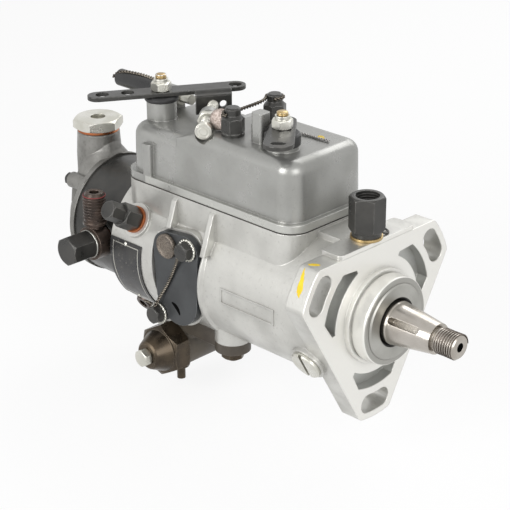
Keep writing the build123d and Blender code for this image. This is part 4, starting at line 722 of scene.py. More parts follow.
@dataclass(frozen=True)
class CoverFinish(Finish):
    """Die-cast governor cover with a milled band round its foot."""

    band_top: float = 0.0501
    band_from: float = -0.1475
    band_colour: tuple = (0.50, 0.50, 0.47)
    band_share: float = 0.8

    def zones(self, tree: bpy.types.NodeTree, colour: bpy.types.NodeSocket,
              rough: bpy.types.NodeSocket) -> tuple:
        """Lay the milled band over.

        Args:
            tree: the material's node tree.
            colour: the colour so far.
            rough: the roughness so far.

        Returns:
            The colour and the roughness.
        """
        point = object_point(tree)
        low = math_node(tree, "LESS_THAN", point["Z"], self.band_top)
        front = math_node(tree, "GREATER_THAN", point["X"], self.band_from)
        band = math_node(tree, "MULTIPLY", math_node(tree, "MULTIPLY", low, front), self.band_share)
        return colour_mix(tree, band, colour, self.band_colour), rough


# Corner darkening in these finishes is painted shade together with dirt.
FINISHES = (
    HousingFinish("cast_alloy", (0.55, 0.545, 0.515), (0.455, 0.45, 0.425), metallic=0.62, roughness=0.37,
                  roughness_spread=0.08, grain_scale=800.0, patch_scale=60.0, depth=0.00016, strength=0.8,
                  edge_radius=0.0008, speck=0.25, speck_colour=(0.25, 0.24, 0.22), shade_and_grime=0.55,
                  shade_and_grime_colour=(0.20, 0.19, 0.17)),
    CoverFinish("cover_alloy", (0.345, 0.345, 0.33), (0.275, 0.275, 0.26), metallic=0.6, roughness=0.33,
                roughness_spread=0.08, grain_scale=1000.0, patch_scale=40.0, depth=0.00008, strength=0.6,
                edge_radius=0.0008, speck=0.15, speck_colour=(0.08, 0.08, 0.08), wear=0.35,
                wear_colour=(0.55, 0.55, 0.52), shade_and_grime=0.5),
    Finish("plate_alloy", (0.25, 0.245, 0.23), (0.15, 0.146, 0.135), metallic=0.55, roughness=0.38,
           roughness_spread=0.08, grain_scale=800.0, patch_scale=70.0, depth=0.00016, strength=0.8,
           edge_radius=0.0008, speck=0.35, speck_colour=(0.08, 0.075, 0.065), shade_and_grime=0.8,
           shade_and_grime_colour=(0.06, 0.055, 0.045)),
    Finish("dark_cast", (0.065, 0.055, 0.045), (0.10, 0.085, 0.065), metallic=0.35, roughness=0.48,
           patch_scale=60.0, coarse_share=0.4, depth=0.00014, strength=0.8, wear=0.4,
           wear_colour=(0.30, 0.27, 0.23), shade_and_grime=0.4, shade_and_grime_colour=(0.02, 0.017, 0.014)),
    Finish("black_steel", (0.034, 0.034, 0.032), (0.055, 0.053, 0.049), metallic=0.45, roughness=0.34,
           grain_scale=1200.0, patch_scale=80.0, depth=0.00004, wear=0.75, wear_colour=(0.24, 0.235, 0.22)),
    Finish("bright_steel", (0.58, 0.56, 0.53), (0.46, 0.44, 0.41), metallic=1.0, roughness=0.26,
           roughness_spread=0.08, grain_scale=1500.0, patch_scale=90.0, coarse_share=0.2, depth=0.00003,
           wear=0.3, wear_colour=(0.7, 0.69, 0.66)),
    Finish("zinc_steel", (0.68, 0.67, 0.62), (0.55, 0.54, 0.48), metallic=0.9, roughness=0.32,
           roughness_spread=0.08, grain_scale=1200.0, patch_scale=90.0, depth=0.00003, strength=0.4,
           shade_and_grime=0.5, shade_and_grime_colour=(0.12, 0.11, 0.09)),
    Finish("dark_plate", (0.046, 0.049, 0.051), (0.034, 0.036, 0.038), metallic=0.25, roughness=0.40,
           roughness_spread=0.06, grain_scale=1200.0, patch_scale=60.0, coarse_share=0.2, depth=0.00003,
           strength=0.4, wear=0.55, wear_colour=(0.30, 0.31, 0.32)),
    Finish("inner_steel", (0.40, 0.39, 0.37), (0.30, 0.29, 0.28), metallic=1.0, roughness=0.35,
           grain_scale=1200.0, patch_scale=80.0, depth=0.00002, strength=0.3),
    Finish("bronze", (0.42, 0.28, 0.12), (0.35, 0.23, 0.1), metallic=1.0, roughness=0.35,
           roughness_spread=0.08),
    Finish("brass", (0.52, 0.40, 0.20), (0.40, 0.28, 0.13), metallic=1.0, roughness=0.34,
           roughness_spread=0.08),
    Finish("copper", (0.52, 0.20, 0.09), (0.36, 0.12, 0.05), metallic=1.0, roughness=0.36),
    Finish("lead", (0.25, 0.215, 0.18), (0.10, 0.082, 0.066), metallic=0.7, roughness=0.42,
           roughness_spread=0.12, grain_scale=1600.0, patch_scale=1500.0, coarse_share=0.6, depth=0.0005,
           strength=1.0, shade_and_grime=0.6, shade_and_grime_colour=(0.05, 0.04, 0.03)),
    Finish("fresh_lead", (0.50, 0.43, 0.39), (0.28, 0.22, 0.19), metallic=0.5, roughness=0.46,
           roughness_spread=0.12, grain_scale=1500.0, patch_scale=1100.0, coarse_share=0.6, depth=0.0006,
           strength=1.0, shade_and_grime=0.6, shade_and_grime_colour=(0.05, 0.04, 0.03)),
    Finish("deep_shade", (0.003, 0.003, 0.003), (0.005, 0.005, 0.005), roughness=0.9, roughness_spread=0.05,
           edge_radius=0.0, specular=0.0),
    Finish("brown_steel", (0.045, 0.035, 0.025), (0.09, 0.068, 0.045), metallic=0.75, roughness=0.30,
           grain_scale=1300.0, patch_scale=90.0, depth=0.00004, wear=0.6, wear_colour=(0.26, 0.22, 0.17)),
    Finish("nipple_steel", (0.045, 0.035, 0.030), (0.085, 0.06, 0.048), metallic=0.7, roughness=0.34,
           grain_scale=1300.0, patch_scale=160.0, coarse_share=0.4, depth=0.00004, wear=0.7,
           wear_colour=(0.24, 0.19, 0.16)),
    Finish("rubber", (0.012, 0.012, 0.012), (0.018, 0.018, 0.018), roughness_spread=0.08),
    Finish("gasket", (0.03, 0.026, 0.02), (0.02, 0.018, 0.015), roughness=0.7, roughness_spread=0.05),
    # The grooves between the wire's strands are darkened almost to black with painted shade.
    Finish("wire", (0.20, 0.18, 0.15), (0.07, 0.06, 0.05), metallic=1.0, roughness=0.28, shade_and_grime=0.9,
           shade_and_grime_reach=0.0007, shade_and_grime_colour=(0.006, 0.005, 0.004)),
    Finish("sleeve", (0.014, 0.014, 0.014), (0.022, 0.022, 0.022), roughness=0.32, roughness_spread=0.06,
           wear=0.3),
    Finish("turned_steel", (0.52, 0.49, 0.45), (0.40, 0.37, 0.33), metallic=1.0, roughness=0.22,
           roughness_spread=0.05, grain_scale=1500.0, patch_scale=60.0, coarse_share=0.2, depth=0.00004,
           strength=0.6, edge_radius=0.0004, turned=1.5),
    Finish("face_steel", (0.44, 0.435, 0.405), (0.34, 0.335, 0.31), metallic=1.0, roughness=0.38,
           roughness_spread=0.05, grain_scale=1500.0, patch_scale=60.0, coarse_share=0.2, depth=0.00004,
           strength=0.6, edge_radius=0.0004, turned=1.5),
    Finish("worn_thread", (0.15, 0.123, 0.105), (0.06, 0.048, 0.039), metallic=1.0, roughness=0.3,
           grain_scale=1500.0, patch_scale=120.0, coarse_share=0.4, depth=0.00004, wear=0.6,
           wear_colour=(0.45, 0.40, 0.35)),
    Finish("yellow_paint", (0.85, 0.62, 0.02), (0.75, 0.50, 0.01), grain_scale=700.0, patch_scale=200.0,
           coarse_share=0.5, depth=0.00005, strength=0.6, edge_radius=0.0),
    Finish("red_mark", (0.27, 0.035, 0.035), (0.17, 0.03, 0.03), metallic=0.1),
    Finish("blank_label", (0.028, 0.028, 0.030), (0.045, 0.044, 0.042), metallic=0.3, roughness=0.33,
           roughness_spread=0.08, patch_scale=120.0, coarse_share=0.4, depth=0.00003, edge_radius=0.0003,
           speck=0.5, speck_colour=(0.16, 0.15, 0.13)),
)

OWN_FINISH = {
    "drive_shaft": "turned_steel", "seal_retainer": "face_steel", "advance_spring_cap": "brown_steel",
    "advance_end_plug": "brown_steel", "locating_fitting": "brown_steel", "advance_stud_nut": "brown_steel",
    "outlet_banjos": "nipple_steel", "end_plate": "plate_alloy",
}


class Dresser:
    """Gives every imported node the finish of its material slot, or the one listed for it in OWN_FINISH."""

    def __init__(self, frame: dict, library: ShaderLibrary) -> None:
        """Build all finishes.

        Args:
            library: the shared shader groups.
        """
        self.frame = frame
        self.materials = {finish.name: finish.build(library) for finish in FINISHES}

    def dress(self) -> None:
        """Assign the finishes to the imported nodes."""
        slots = {entry["node"]: entry["material_slot"] for entry in self.frame["record"]["subparts"]}
        for node, thing in self.frame["nodes"].items():
            material = self.materials[OWN_FINISH.get(node, slots[node])]
            if not thing.material_slots:
                thing.data.materials.append(material)
            for slot in thing.material_slots:
                slot.link = "OBJECT"
                slot.material = material
            LOG.info("dressed %s in %s", node, material.name)


def stand(origin: tuple, direction: tuple, spin: float = 0.0) -> Matrix:
    """Return the place of a mesh whose own Z runs along a direction.

    Args:
        origin: the mesh's own zero, in millimetres.
        direction: where its Z points.
        spin: turn round its own Z, in degrees.

    Returns:
        The matrix, in metres.
    """
    turn = Vector(direction).to_track_quat("Z", "Y").to_matrix().to_4x4()
    twist = Matrix.Rotation(math.radians(spin), 4, "Z")
    return Matrix.Translation(Vector(origin) * MM) @ turn @ twist


def bridge(form: bmesh.types.BMesh, first: list, second: list) -> None:
    """Join two closed rows of vertices with faces.

    Args:
        form: the form.
        first: one row.
        second: the other row, as long as the first.
    """
    for step in range(len(first)):
        after = (step + 1) % len(first)
        form.faces.new((first[step], first[after], second[after], second[step]))


def mesh_of(form: bmesh.types.BMesh, name: str, outward: bool = True) -> bpy.types.Mesh:
    """Turn a form into a mesh and free the form.

    Args:
        form: the form.
        name: the mesh's name.
        outward: whether its faces are turned outwards first.

    Returns:
        The mesh.
    """
    if outward:
        bmesh.ops.recalc_face_normals(form, faces=form.faces)
    mesh = bpy.data.meshes.new(name)
    form.to_mesh(mesh)
    form.free()
    return mesh


def curve_mesh(curve: bpy.types.Curve) -> bpy.types.Mesh:
    """Turn a curve into a mesh.

    Args:
        curve: the curve.

    Returns:
        The mesh.
    """
    holder = bpy.data.objects.new(curve.name, curve)
    bpy.context.scene.collection.objects.link(holder)
    bpy.context.view_layer.update()
    ready = holder.evaluated_get(bpy.context.evaluated_depsgraph_get())
    mesh = bpy.data.meshes.new_from_object(ready)
    bpy.data.objects.remove(holder)
    return mesh


def from_face(points: tuple, face: float, axis: int) -> list:
    """Return points with one coordinate that counted from a face.

    Args:
        points: the points in millimetres.
        face: where the face is on that axis.
        axis: number of the coordinate.

    Returns:
        The points in the pump's frame.
    """
    return [tuple(value + face if number == axis else value for number, value in enumerate(point))
            for point in points]


def lathe(profile: list, segments: int = 48, ripple: float = 0.0, ripples: int = 0) -> bpy.types.Mesh:
    """Turn a closed profile of radius and height round Z.

    Args:
        profile: radius and height of each corner, in millimetres, in order round the section.
        segments: steps round the axis.
        ripple: how far the surface waves up and down, in millimetres.
        ripples: waves in one turn.

    Returns:
        The mesh, with its poles and seam closed.
    """
    form = bmesh.new()
    rings = []
    for radius, height in profile:
        ring = []
        for step in range(segments):
            angle = 2 * math.pi * step / segments
            lift = ripple * math.sin(ripples * angle) if radius > 0 else 0.0
            ring.append(form.verts.new(Vector((radius * math.cos(angle), radius * math.sin(angle),
                                               height + lift)) * MM))
        rings.append(ring)
    for first, second in zip(rings, rings[1:] + rings[:1]):
        bridge(form, first, second)
    bmesh.ops.remove_doubles(form, verts=form.verts, dist=WELD)
    bmesh.ops.dissolve_degenerate(form, edges=form.edges, dist=SLIVER)
    return mesh_of(form, "turned_form")


def turned(profile: list, origin: tuple, direction: tuple, segments: int = 48) -> bpy.types.Mesh:
    """Turn a closed profile and stand it in place.

    Args:
        profile: radius and height of each corner, in millimetres.
        origin: where its own zero is, in millimetres.
        direction: where its axis points.
        segments: steps round the axis.

    Returns:
        The mesh.
    """
    mesh = lathe(profile, segments)
    mesh.transform(stand(origin, direction))
    return mesh


def slab(outline: list, thickness: float) -> bpy.types.Mesh:
    """Raise a flat outline into a thin slab on its own XY plane.

    Args:
        outline: corners in millimetres, in order.
        thickness: height of the slab in millimetres.

    Returns:
        The closed mesh.
    """
    form = bmesh.new()
    low = [form.verts.new(Vector((x, y, 0.0)) * MM) for x, y in outline]
    high = [form.verts.new(Vector((x, y, thickness)) * MM) for x, y in outline]
    form.faces.new(low[::-1])
    form.faces.new(high)
    bridge(form, low, high)
    return mesh_of(form, "slab")


def plate(outline: list, holes: list, thickness: float, edge: float = 0.25) -> bpy.types.Mesh:
    """Cut a flat plate with round holes and softened edges.

    Args:
        outline: its corners in millimetres, in order.
        holes: X, Y and radius of each hole, in millimetres.
        thickness: its thickness in millimetres, half of it on each side of its own XY plane.
        edge: bevel of its edges in millimetres.

    Returns:
        The closed mesh.
    """
    flat = bpy.data.curves.new("plate", "CURVE")
    flat.dimensions = "2D"
    flat.fill_mode = "BOTH"
    flat.extrude = (thickness / 2 - edge) * MM
    flat.bevel_depth = edge * MM
    flat.bevel_resolution = 1
    flat.offset = -edge * MM
    loops = [outline]
    for x, y, radius in holes:
        turns = [math.radians(angle) for angle in range(0, 360, HOLE_STEP)]
        loops.append([(x + radius * math.cos(turn), y + radius * math.sin(turn)) for turn in turns])
    for loop in loops:
        spline = flat.splines.new("POLY")
        spline.points.add(len(loop) - 1)
        for point, (x, y) in zip(spline.points, loop):
            point.co = (x * MM, y * MM, 0.0, 1.0)
        spline.use_cyclic_u = True
    form = bmesh.new()
    form.from_mesh(curve_mesh(flat))
    bmesh.ops.remove_doubles(form, verts=form.verts, dist=PLATE_WELD)
    return mesh_of(form, "plate")


def rounded_bar(start: float, end: float, half_width: float) -> list:
    """Return the outline of a bar with round ends, in millimetres.

    Args:
        start: X of its first end.
        end: X of its second end.
        half_width: half of its width.

    Returns:
        The corners in order.
    """
    outline = []
    for centre, first in ((end - half_width, -90), (start + half_width, 90)):
        for turn in range(0, 181, END_STEP):
            angle = math.radians(first + turn)
            outline.append((centre + half_width * math.cos(angle), half_width * math.sin(angle)))
    return outline


def patch(length: float, width: float, seed: int, taper: float = 0.0, rings: int = 6,
          steps: int = 28) -> bpy.types.Mesh:
    """Make a thin patch with an uneven rim that can be laid on a curved surface.

    Args:
        length: its length in millimetres.
        width: its width in millimetres.
        seed: seed of its rim.
        taper: how much narrower one end is.
        rings: rings of vertices from its middle to its rim.
        steps: steps round it.

    Returns:
        A closed mesh whose upper side is at Z above 0 and whose lower side is at Z of 0.
    """
    shake = random.Random(seed)
    rim = []
    for step in range(steps):
        angle = 2 * math.pi * step / steps
        uneven = 1 + shake.uniform(-RIM_SHAKE, RIM_SHAKE)
        rim.append((length / 2 * math.cos(angle) * uneven,
                    width / 2 * math.sin(angle) * uneven * (1 - taper * math.cos(angle))))
    form = bmesh.new()
    levels = []
    for height in (0.0, PATCH_HEIGHT):
        middle = form.verts.new((0.0, 0.0, height * MM))
        circles = []
        for ring in range(1, rings + 1):
            share = ring / rings
            circles.append([form.verts.new((x * share * MM, y * share * MM, height * MM)) for x, y in rim])
        levels.append((middle, circles))
    for (middle, circles), upper in zip(levels, (False, True)):
        for step in range(steps):
            after = (step + 1) % steps
            faces = [(middle, circles[0][step], circles[0][after])]
            for inner, outer in zip(circles, circles[1:]):
                faces.append((inner[step], outer[step], outer[after], inner[after]))
            for corners in faces:
                form.faces.new(corners if upper else corners[::-1])
    bridge(form, levels[0][1][-1], levels[1][1][-1])
    return mesh_of(form, "patch")


class FormTree:
    """A Geometry Nodes tree that grows one kind of repeated form."""

    def __init__(self, name: str, inputs: tuple) -> None:
        """Start the tree.

        Args:
            name: the tree's name.
            inputs: name, socket type and default of each input after the geometry.
        """
        self.tree = bpy.data.node_groups.new(name, "GeometryNodeTree")
        add_input(self.tree, "Geometry", "NodeSocketGeometry")
        for label, kind, default in inputs:
            add_input(self.tree, label, kind, default)
        add_output(self.tree, "Geometry", "NodeSocketGeometry")
        self.source = self.tree.nodes.new("NodeGroupInput")
        self.result = self.tree.nodes.new("NodeGroupOutput")

    def node(self, kind: str, **settings: object) -> bpy.types.Node:
        """Add a node with its settings.

        Args:
            kind: the node's type.
            settings: its properties.

        Returns:
            The node.
        """
        made = self.tree.nodes.new(kind)
        for name, value in settings.items():
            setattr(made, name, value)
        return made

    def link(self, first: bpy.types.NodeSocket, second: bpy.types.NodeSocket) -> None:
        """Link two sockets."""
        self.tree.links.new(first, second)

    def close(self, geometry: bpy.types.NodeSocket) -> None:
        """End the tree in real geometry with the material set.

        Args:
            geometry: what the tree made.
        """
        real = self.node("GeometryNodeRealizeInstances")
        paint = self.node("GeometryNodeSetMaterial")
        self.link(geometry, real.inputs["Geometry"])
        self.link(real.outputs["Geometry"], paint.inputs["Geometry"])
        self.link(self.source.outputs["Material"], paint.inputs["Material"])
        self.link(paint.outputs["Geometry"], self.result.inputs["Geometry"])

    def grow(self, base: bpy.types.Mesh, **values: object) -> bpy.types.Mesh:
        """Run the tree on a mesh.

        Args:
            base: the mesh that goes in.
            values: the tree's inputs, with underscores for blanks.

        Returns:
            A plain mesh of the result.
        """
        carrier = bpy.data.objects.new("carrier", base)
        bpy.context.scene.collection.objects.link(carrier)
        modifier = carrier.modifiers.new("form", "NODES")
        modifier.node_group = self.tree
        sockets = {item.name: item.identifier for item in self.tree.interface.items_tree
                   if item.item_type == "SOCKET" and item.in_out == "INPUT"}
        for name, value in values.items():
            modifier[sockets[name.replace("_", " ")]] = value
        bpy.context.view_layer.update()
        ready = carrier.evaluated_get(bpy.context.evaluated_depsgraph_get())
        mesh = bpy.data.meshes.new_from_object(ready)
        carrier.modifiers.remove(modifier)
        bpy.data.objects.remove(carrier)
        return mesh


class ThreadTree(FormTree):
    """Grows the ridge of a screw thread along Z."""

    def __init__(self) -> None:
        """Build the tree."""
        super().__init__("screw_thread", (
            ("Radius", "NodeSocketFloat", 0.006), ("Length", "NodeSocketFloat", 0.01),
            ("Turns", "NodeSocketFloat", 8.0), ("Depth", "NodeSocketFloat", 0.0005),
            ("Material", "NodeSocketMaterial", None)))
        spiral = self.node("GeometryNodeCurveSpiral")
        spiral.inputs["Resolution"].default_value = 40
        self.link(self.source.outputs["Turns"], spiral.inputs["Rotations"])
        self.link(self.source.outputs["Radius"], spiral.inputs["Start Radius"])
        self.link(self.source.outputs["Radius"], spiral.inputs["End Radius"])
        self.link(self.source.outputs["Length"], spiral.inputs["Height"])
        upright = self.node("GeometryNodeSetCurveNormal")
        self.link(spiral.outputs["Curve"], upright.inputs["Curve"])
        section = self.node("GeometryNodeCurvePrimitiveCircle")
        section.inputs["Resolution"].default_value = 4
        self.link(self.source.outputs["Depth"], section.inputs["Radius"])
        ridge = self.node("GeometryNodeCurveToMesh")
        ridge.inputs["Fill Caps"].default_value = True
        self.link(upright.outputs["Curve"], ridge.inputs["Curve"])
        self.link(section.outputs["Curve"], ridge.inputs["Profile Curve"])
        self.close(ridge.outputs["Mesh"])


class TwistTree(FormTree):
    """Twists two strands of wire round a path."""

    def __init__(self) -> None:
        """Build the tree."""
        super().__init__("twisted_wire", (
            ("Strand", "NodeSocketFloat", 0.00045), ("Lay", "NodeSocketFloat", 0.0035),
            ("Material", "NodeSocketMaterial", None)))
        path = self.node("GeometryNodeMeshToCurve")
        self.link(self.source.outputs["Geometry"], path.inputs["Mesh"])
        even = self.node("GeometryNodeResampleCurve", mode="LENGTH")
        even.inputs["Length"].default_value = 0.00035
        self.link(path.outputs["Curve"], even.inputs["Curve"])
        gather = self.node("GeometryNodeJoinGeometry")
        for phase in (0.0, math.pi):
            self.link(self.strand(even.outputs["Curve"], phase), gather.inputs["Geometry"])
        self.close(gather.outputs["Geometry"])

    def strand(self, curve: bpy.types.NodeSocket, phase: float) -> bpy.types.NodeSocket:
        """Wind one strand.

        Args:
            curve: the path.
            phase: where the strand starts round the path, in radians.

        Returns:
            The strand's mesh.
        """
        along = self.node("GeometryNodeSplineParameter")
        normal = self.node("GeometryNodeInputNormal")
        tangent = self.node("GeometryNodeInputTangent")
        turns = math_node(self.tree, "DIVIDE", along.outputs["Length"], self.source.outputs["Lay"])
        angle = math_node(self.tree, "MULTIPLY_ADD", turns, 2 * math.pi, phase)
        side = self.node("ShaderNodeVectorMath", operation="CROSS_PRODUCT")
        self.link(tangent.outputs["Tangent"], side.inputs[0])
        self.link(normal.outputs["Normal"], side.inputs[1])
        first = self.node("ShaderNodeVectorMath", operation="SCALE")
        second = self.node("ShaderNodeVectorMath", operation="SCALE")
        self.link(normal.outputs["Normal"], first.inputs[0])
        self.link(side.outputs["Vector"], second.inputs[0])
        reach = self.source.outputs["Strand"]
        cosine = math_node(self.tree, "MULTIPLY", math_node(self.tree, "COSINE", angle), reach)
        sine = math_node(self.tree, "MULTIPLY", math_node(self.tree, "SINE", angle), reach)
        self.link(cosine, first.inputs["Scale"])
        self.link(sine, second.inputs["Scale"])
        offset = self.node("ShaderNodeVectorMath", operation="ADD")
        self.link(first.outputs["Vector"], offset.inputs[0])
        self.link(second.outputs["Vector"], offset.inputs[1])
        moved = self.node("GeometryNodeSetPosition")
        self.link(curve, moved.inputs["Geometry"])
        self.link(offset.outputs["Vector"], moved.inputs["Offset"])
        section = self.node("GeometryNodeCurvePrimitiveCircle")
        section.inputs["Resolution"].default_value = 6
        self.link(reach, section.inputs["Radius"])
        tube = self.node("GeometryNodeCurveToMesh")
        tube.inputs["Fill Caps"].default_value = True
        self.link(moved.outputs["Geometry"], tube.inputs["Curve"])
        self.link(section.outputs["Curve"], tube.inputs["Profile Curve"])
        return tube.outputs["Mesh"]


class CrimpTree(FormTree):
    """Sets raised teeth round the rim of a lock washer."""

    def __init__(self) -> None:
        """Build the tree."""
        super().__init__("washer_teeth", (
            ("Radius", "NodeSocketFloat", 0.005), ("Teeth", "NodeSocketInt", 18),
            ("Size", "NodeSocketVector", (0.0016, 0.0007, 0.0009)), ("Material", "NodeSocketMaterial", None)))
        rim = self.node("GeometryNodeMeshCircle")
        self.link(self.source.outputs["Teeth"], rim.inputs["Vertices"])
        self.link(self.source.outputs["Radius"], rim.inputs["Radius"])
        tooth = self.node("GeometryNodeMeshCube")
        self.link(self.source.outputs["Size"], tooth.inputs["Size"])
        place = self.node("GeometryNodeInputPosition")
        aim = self.node("FunctionNodeAlignEulerToVector", axis="X")
        self.link(place.outputs["Position"], aim.inputs["Vector"])
        tilt = self.node("FunctionNodeRotateEuler", space="LOCAL")
        tilt.inputs["Rotate By"].default_value = (0.5, -0.25, 0.0)
        self.link(aim.outputs["Rotation"], tilt.inputs["Rotation"])
        row = self.node("GeometryNodeInstanceOnPoints")
        self.link(rim.outputs["Mesh"], row.inputs["Points"])
        self.link(tooth.outputs["Mesh"], row.inputs["Instance"])
        self.link(tilt.outputs["Rotation"], row.inputs["Rotation"])
        self.close(row.outputs["Instances"])


@dataclass
class Workshop:
    """What every sub-assembly needs to make its pieces."""

    frame: dict
    materials: dict
    thread: ThreadTree = field(default_factory=ThreadTree)
    twist: TwistTree = field(default_factory=TwistTree)
    crimp: CrimpTree = field(default_factory=CrimpTree)

    def piece(self, name: str, mesh: bpy.types.Mesh, body: str, finish: str,
              smooth: bool = True, replaces: tuple = ()) -> bpy.types.Object:
        """Turn a mesh into a finished piece on a body.

        Args:
            name: the piece's name.
            mesh: its mesh, in place.
            body: the body that it rides on.
            finish: the finish that it wears.
            smooth: whether its faces are shaded smoothly.
            replaces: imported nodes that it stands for.

        Returns:
            The piece.
        """
        mesh.name = name
        mesh.materials.clear()
        mesh.materials.append(self.materials[finish])
        for face in mesh.polygons:
            face.use_smooth = smooth
        thing = bpy.data.objects.new(name, mesh)
        bpy.context.scene.collection.objects.link(thing)
        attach(thing, body)
        if replaces:
            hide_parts(*replaces)
        LOG.info("made %s on %s with %d faces", name, body, len(mesh.polygons))
        return thing

    def join(self, *meshes: bpy.types.Mesh) -> bpy.types.Mesh:
        """Join meshes that are already in place.

        Args:
            meshes: the meshes.

        Returns:
            One mesh.
        """
        form = bmesh.new()
        for mesh in meshes:
            form.from_mesh(mesh)
        return mesh_of(form, "joined", outward=False)

    def lay(self, mesh: bpy.types.Mesh, place: Matrix, node: str, lift: float = 0.05) -> bpy.types.Mesh:
        """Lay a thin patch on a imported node.

        Args:
            mesh: the patch on its own XY plane.
            place: where it stands above the surface, with its Z pointing away from it.
            node: the node that carries it.
            lift: thickness of the patch in millimetres.

        Returns:
            The patch, bent to the surface.
        """
        carrier = self.frame["nodes"][node].data
        surface = BVHTree.FromPolygons([vertex.co for vertex in carrier.vertices],
                                       [tuple(face.vertices) for face in carrier.polygons])
        away = (place.to_3x3() @ Vector((0.0, 0.0, 1.0))).normalized()
        for vertex in mesh.vertices:
            upper = vertex.co.z > 0
            point = place @ Vector((vertex.co.x, vertex.co.y, 0.0))
            found = surface.ray_cast(point + away * RAY_START, -away, RAY_REACH)
            ground = found[0] if found[0] is not None else point
            vertex.co = ground + away * (lift if upper else UNDERSIDE_LIFT) * MM
        return mesh

    def threaded(self, origin: tuple, direction: tuple, radius: float, length: float, pitch: float,
                 depth: float, finish: str) -> bpy.types.Mesh:
        """Make one thread in place.

        Args:
            origin: where it starts, in millimetres.
            direction: where it runs.
            radius: radius of its middle line.
            length: its length.
            pitch: from ridge to ridge.
            depth: half of the ridge's width and height.
            finish: name of its finish.

        Returns:
            The mesh.
        """
        mesh = self.thread.grow(bpy.data.meshes.new("seed"), Radius=radius * MM, Length=length * MM,
                                Turns=length / pitch, Depth=depth * MM, Material=self.materials[finish])
        mesh.transform(stand(origin, direction))
        return mesh

    def twisted(self, points: list, strand: float, lay: float, finish: str = "wire") -> bpy.types.Mesh:
        """Twist a wire along points.

        Args:
            points: the path in millimetres.
            strand: radius of one strand in millimetres.
            lay: length of one full twist in millimetres.
            finish: name of its finish.

        Returns:
            The mesh.
        """
        line = bpy.data.curves.new("path", "CURVE")
        line.dimensions = "3D"
        spline = line.splines.new("NURBS")
        spline.points.add(len(points) - 1)
        for target, point in zip(spline.points, points):
            target.co = (*(Vector(point) * MM), 1.0)
        spline.order_u = 3
        spline.use_endpoint_u = True
        return self.twist.grow(curve_mesh(line), Strand=strand * MM, Lay=lay * MM,
                               Material=self.materials[finish])


@dataclass
class ShaftEnd:
    """Thread of the drive shaft and the painted shade in its centre hole."""

    start: float = 43.9
    length: float = 12.0
    radius: float = 7.0
    pitch: float = 1.5
    depth: float = 0.42
    end: float = 56.4
    # The centre profile is a black cone of painted shade inside the centre hole.
    centre_profile: tuple = ((0.0, -5.4), (0.25, -5.3), (2.55, -0.08), (2.55, -0.3), (0.25, -5.5),
                             (0.0, -5.6))
    centre_steps: int = 32

    def build(self, shop: Workshop) -> None:
        """Make the thread on the shaft's end and the painted shade in its centre hole.

        Args:
            shop: the workshop.
        """
        along = Axis.SHAFT.value
        mesh = shop.threaded((self.start, 0, 0), along, self.radius, self.length, self.pitch, self.depth,
                             "worn_thread")
        shop.piece("shaft_end_thread", mesh, "shaft", "worn_thread")
        # A black cone inside the centre hole stands for its shade.
        cone = turned(self.centre_profile, (self.end, 0, 0), along, self.centre_steps)
        shop.piece("shaft_centre_painted_shade", cone, "shaft", "deep_shade")


@dataclass
class Outlets:
    """Threads, red ring and washer rims of the three high-pressure outlets."""

    along: float = -183.5
    angles: tuple = (179.0, 59.0, 299.0)
    banjo_middle: float = 42.5
    nipple_radius: float = 6.4
    thread_start: float = 14.6
    thread_length: float = 14.2
    pitch: float = 1.8
    depth: float = 0.58
    ring_start: float = 29.6
    ring_profile: tuple = ((0.0, 0.0), (0.45, 0.1), (0.3, 0.45), (0.0, 0.5))
    washer_start: float = 46.9
    washer_end: float = 48.6
    washer_radius: float = 8.6
    washer_rim: float = 0.5

    def build(self, shop: Workshop) -> None:
        """Make the threads, the ring and the washers' rims.

        Args:
            shop: the workshop.
        """
        ridges = []
        washers = []
        inner = self.washer_radius - self.washer_rim
        rim = ((inner, self.washer_start), (self.washer_radius, self.washer_start),
               (self.washer_radius, self.washer_end), (inner, self.washer_end))
        for angle in self.angles:
            out = Vector((0.0, math.cos(math.radians(angle)), math.sin(math.radians(angle))))
            side = Vector((0.0, math.cos(math.radians(angle - 90)), math.sin(math.radians(angle - 90))))
            foot = Vector((self.along, 0.0, 0.0)) + out * self.banjo_middle
            start = foot + side * self.thread_start
            ridges.append(shop.threaded(tuple(start), tuple(side), self.nipple_radius, self.thread_length,
                                        self.pitch, self.depth, "nipple_steel"))
            washers.append(turned(rim, (self.along, 0, 0), tuple(out)))
            if angle == self.angles[0]:
                section = [(self.nipple_radius + reach, height) for reach, height in self.ring_profile]
                ring = turned(section, tuple(foot + side * self.ring_start), tuple(side))
                shop.piece("nipple_red_ring", ring, "pump", "red_mark")
        shop.piece("nipple_threads", shop.join(*ridges), "pump", "nipple_steel")
        shop.piece("outlet_washer_rims", shop.join(*washers), "pump", "face_steel")


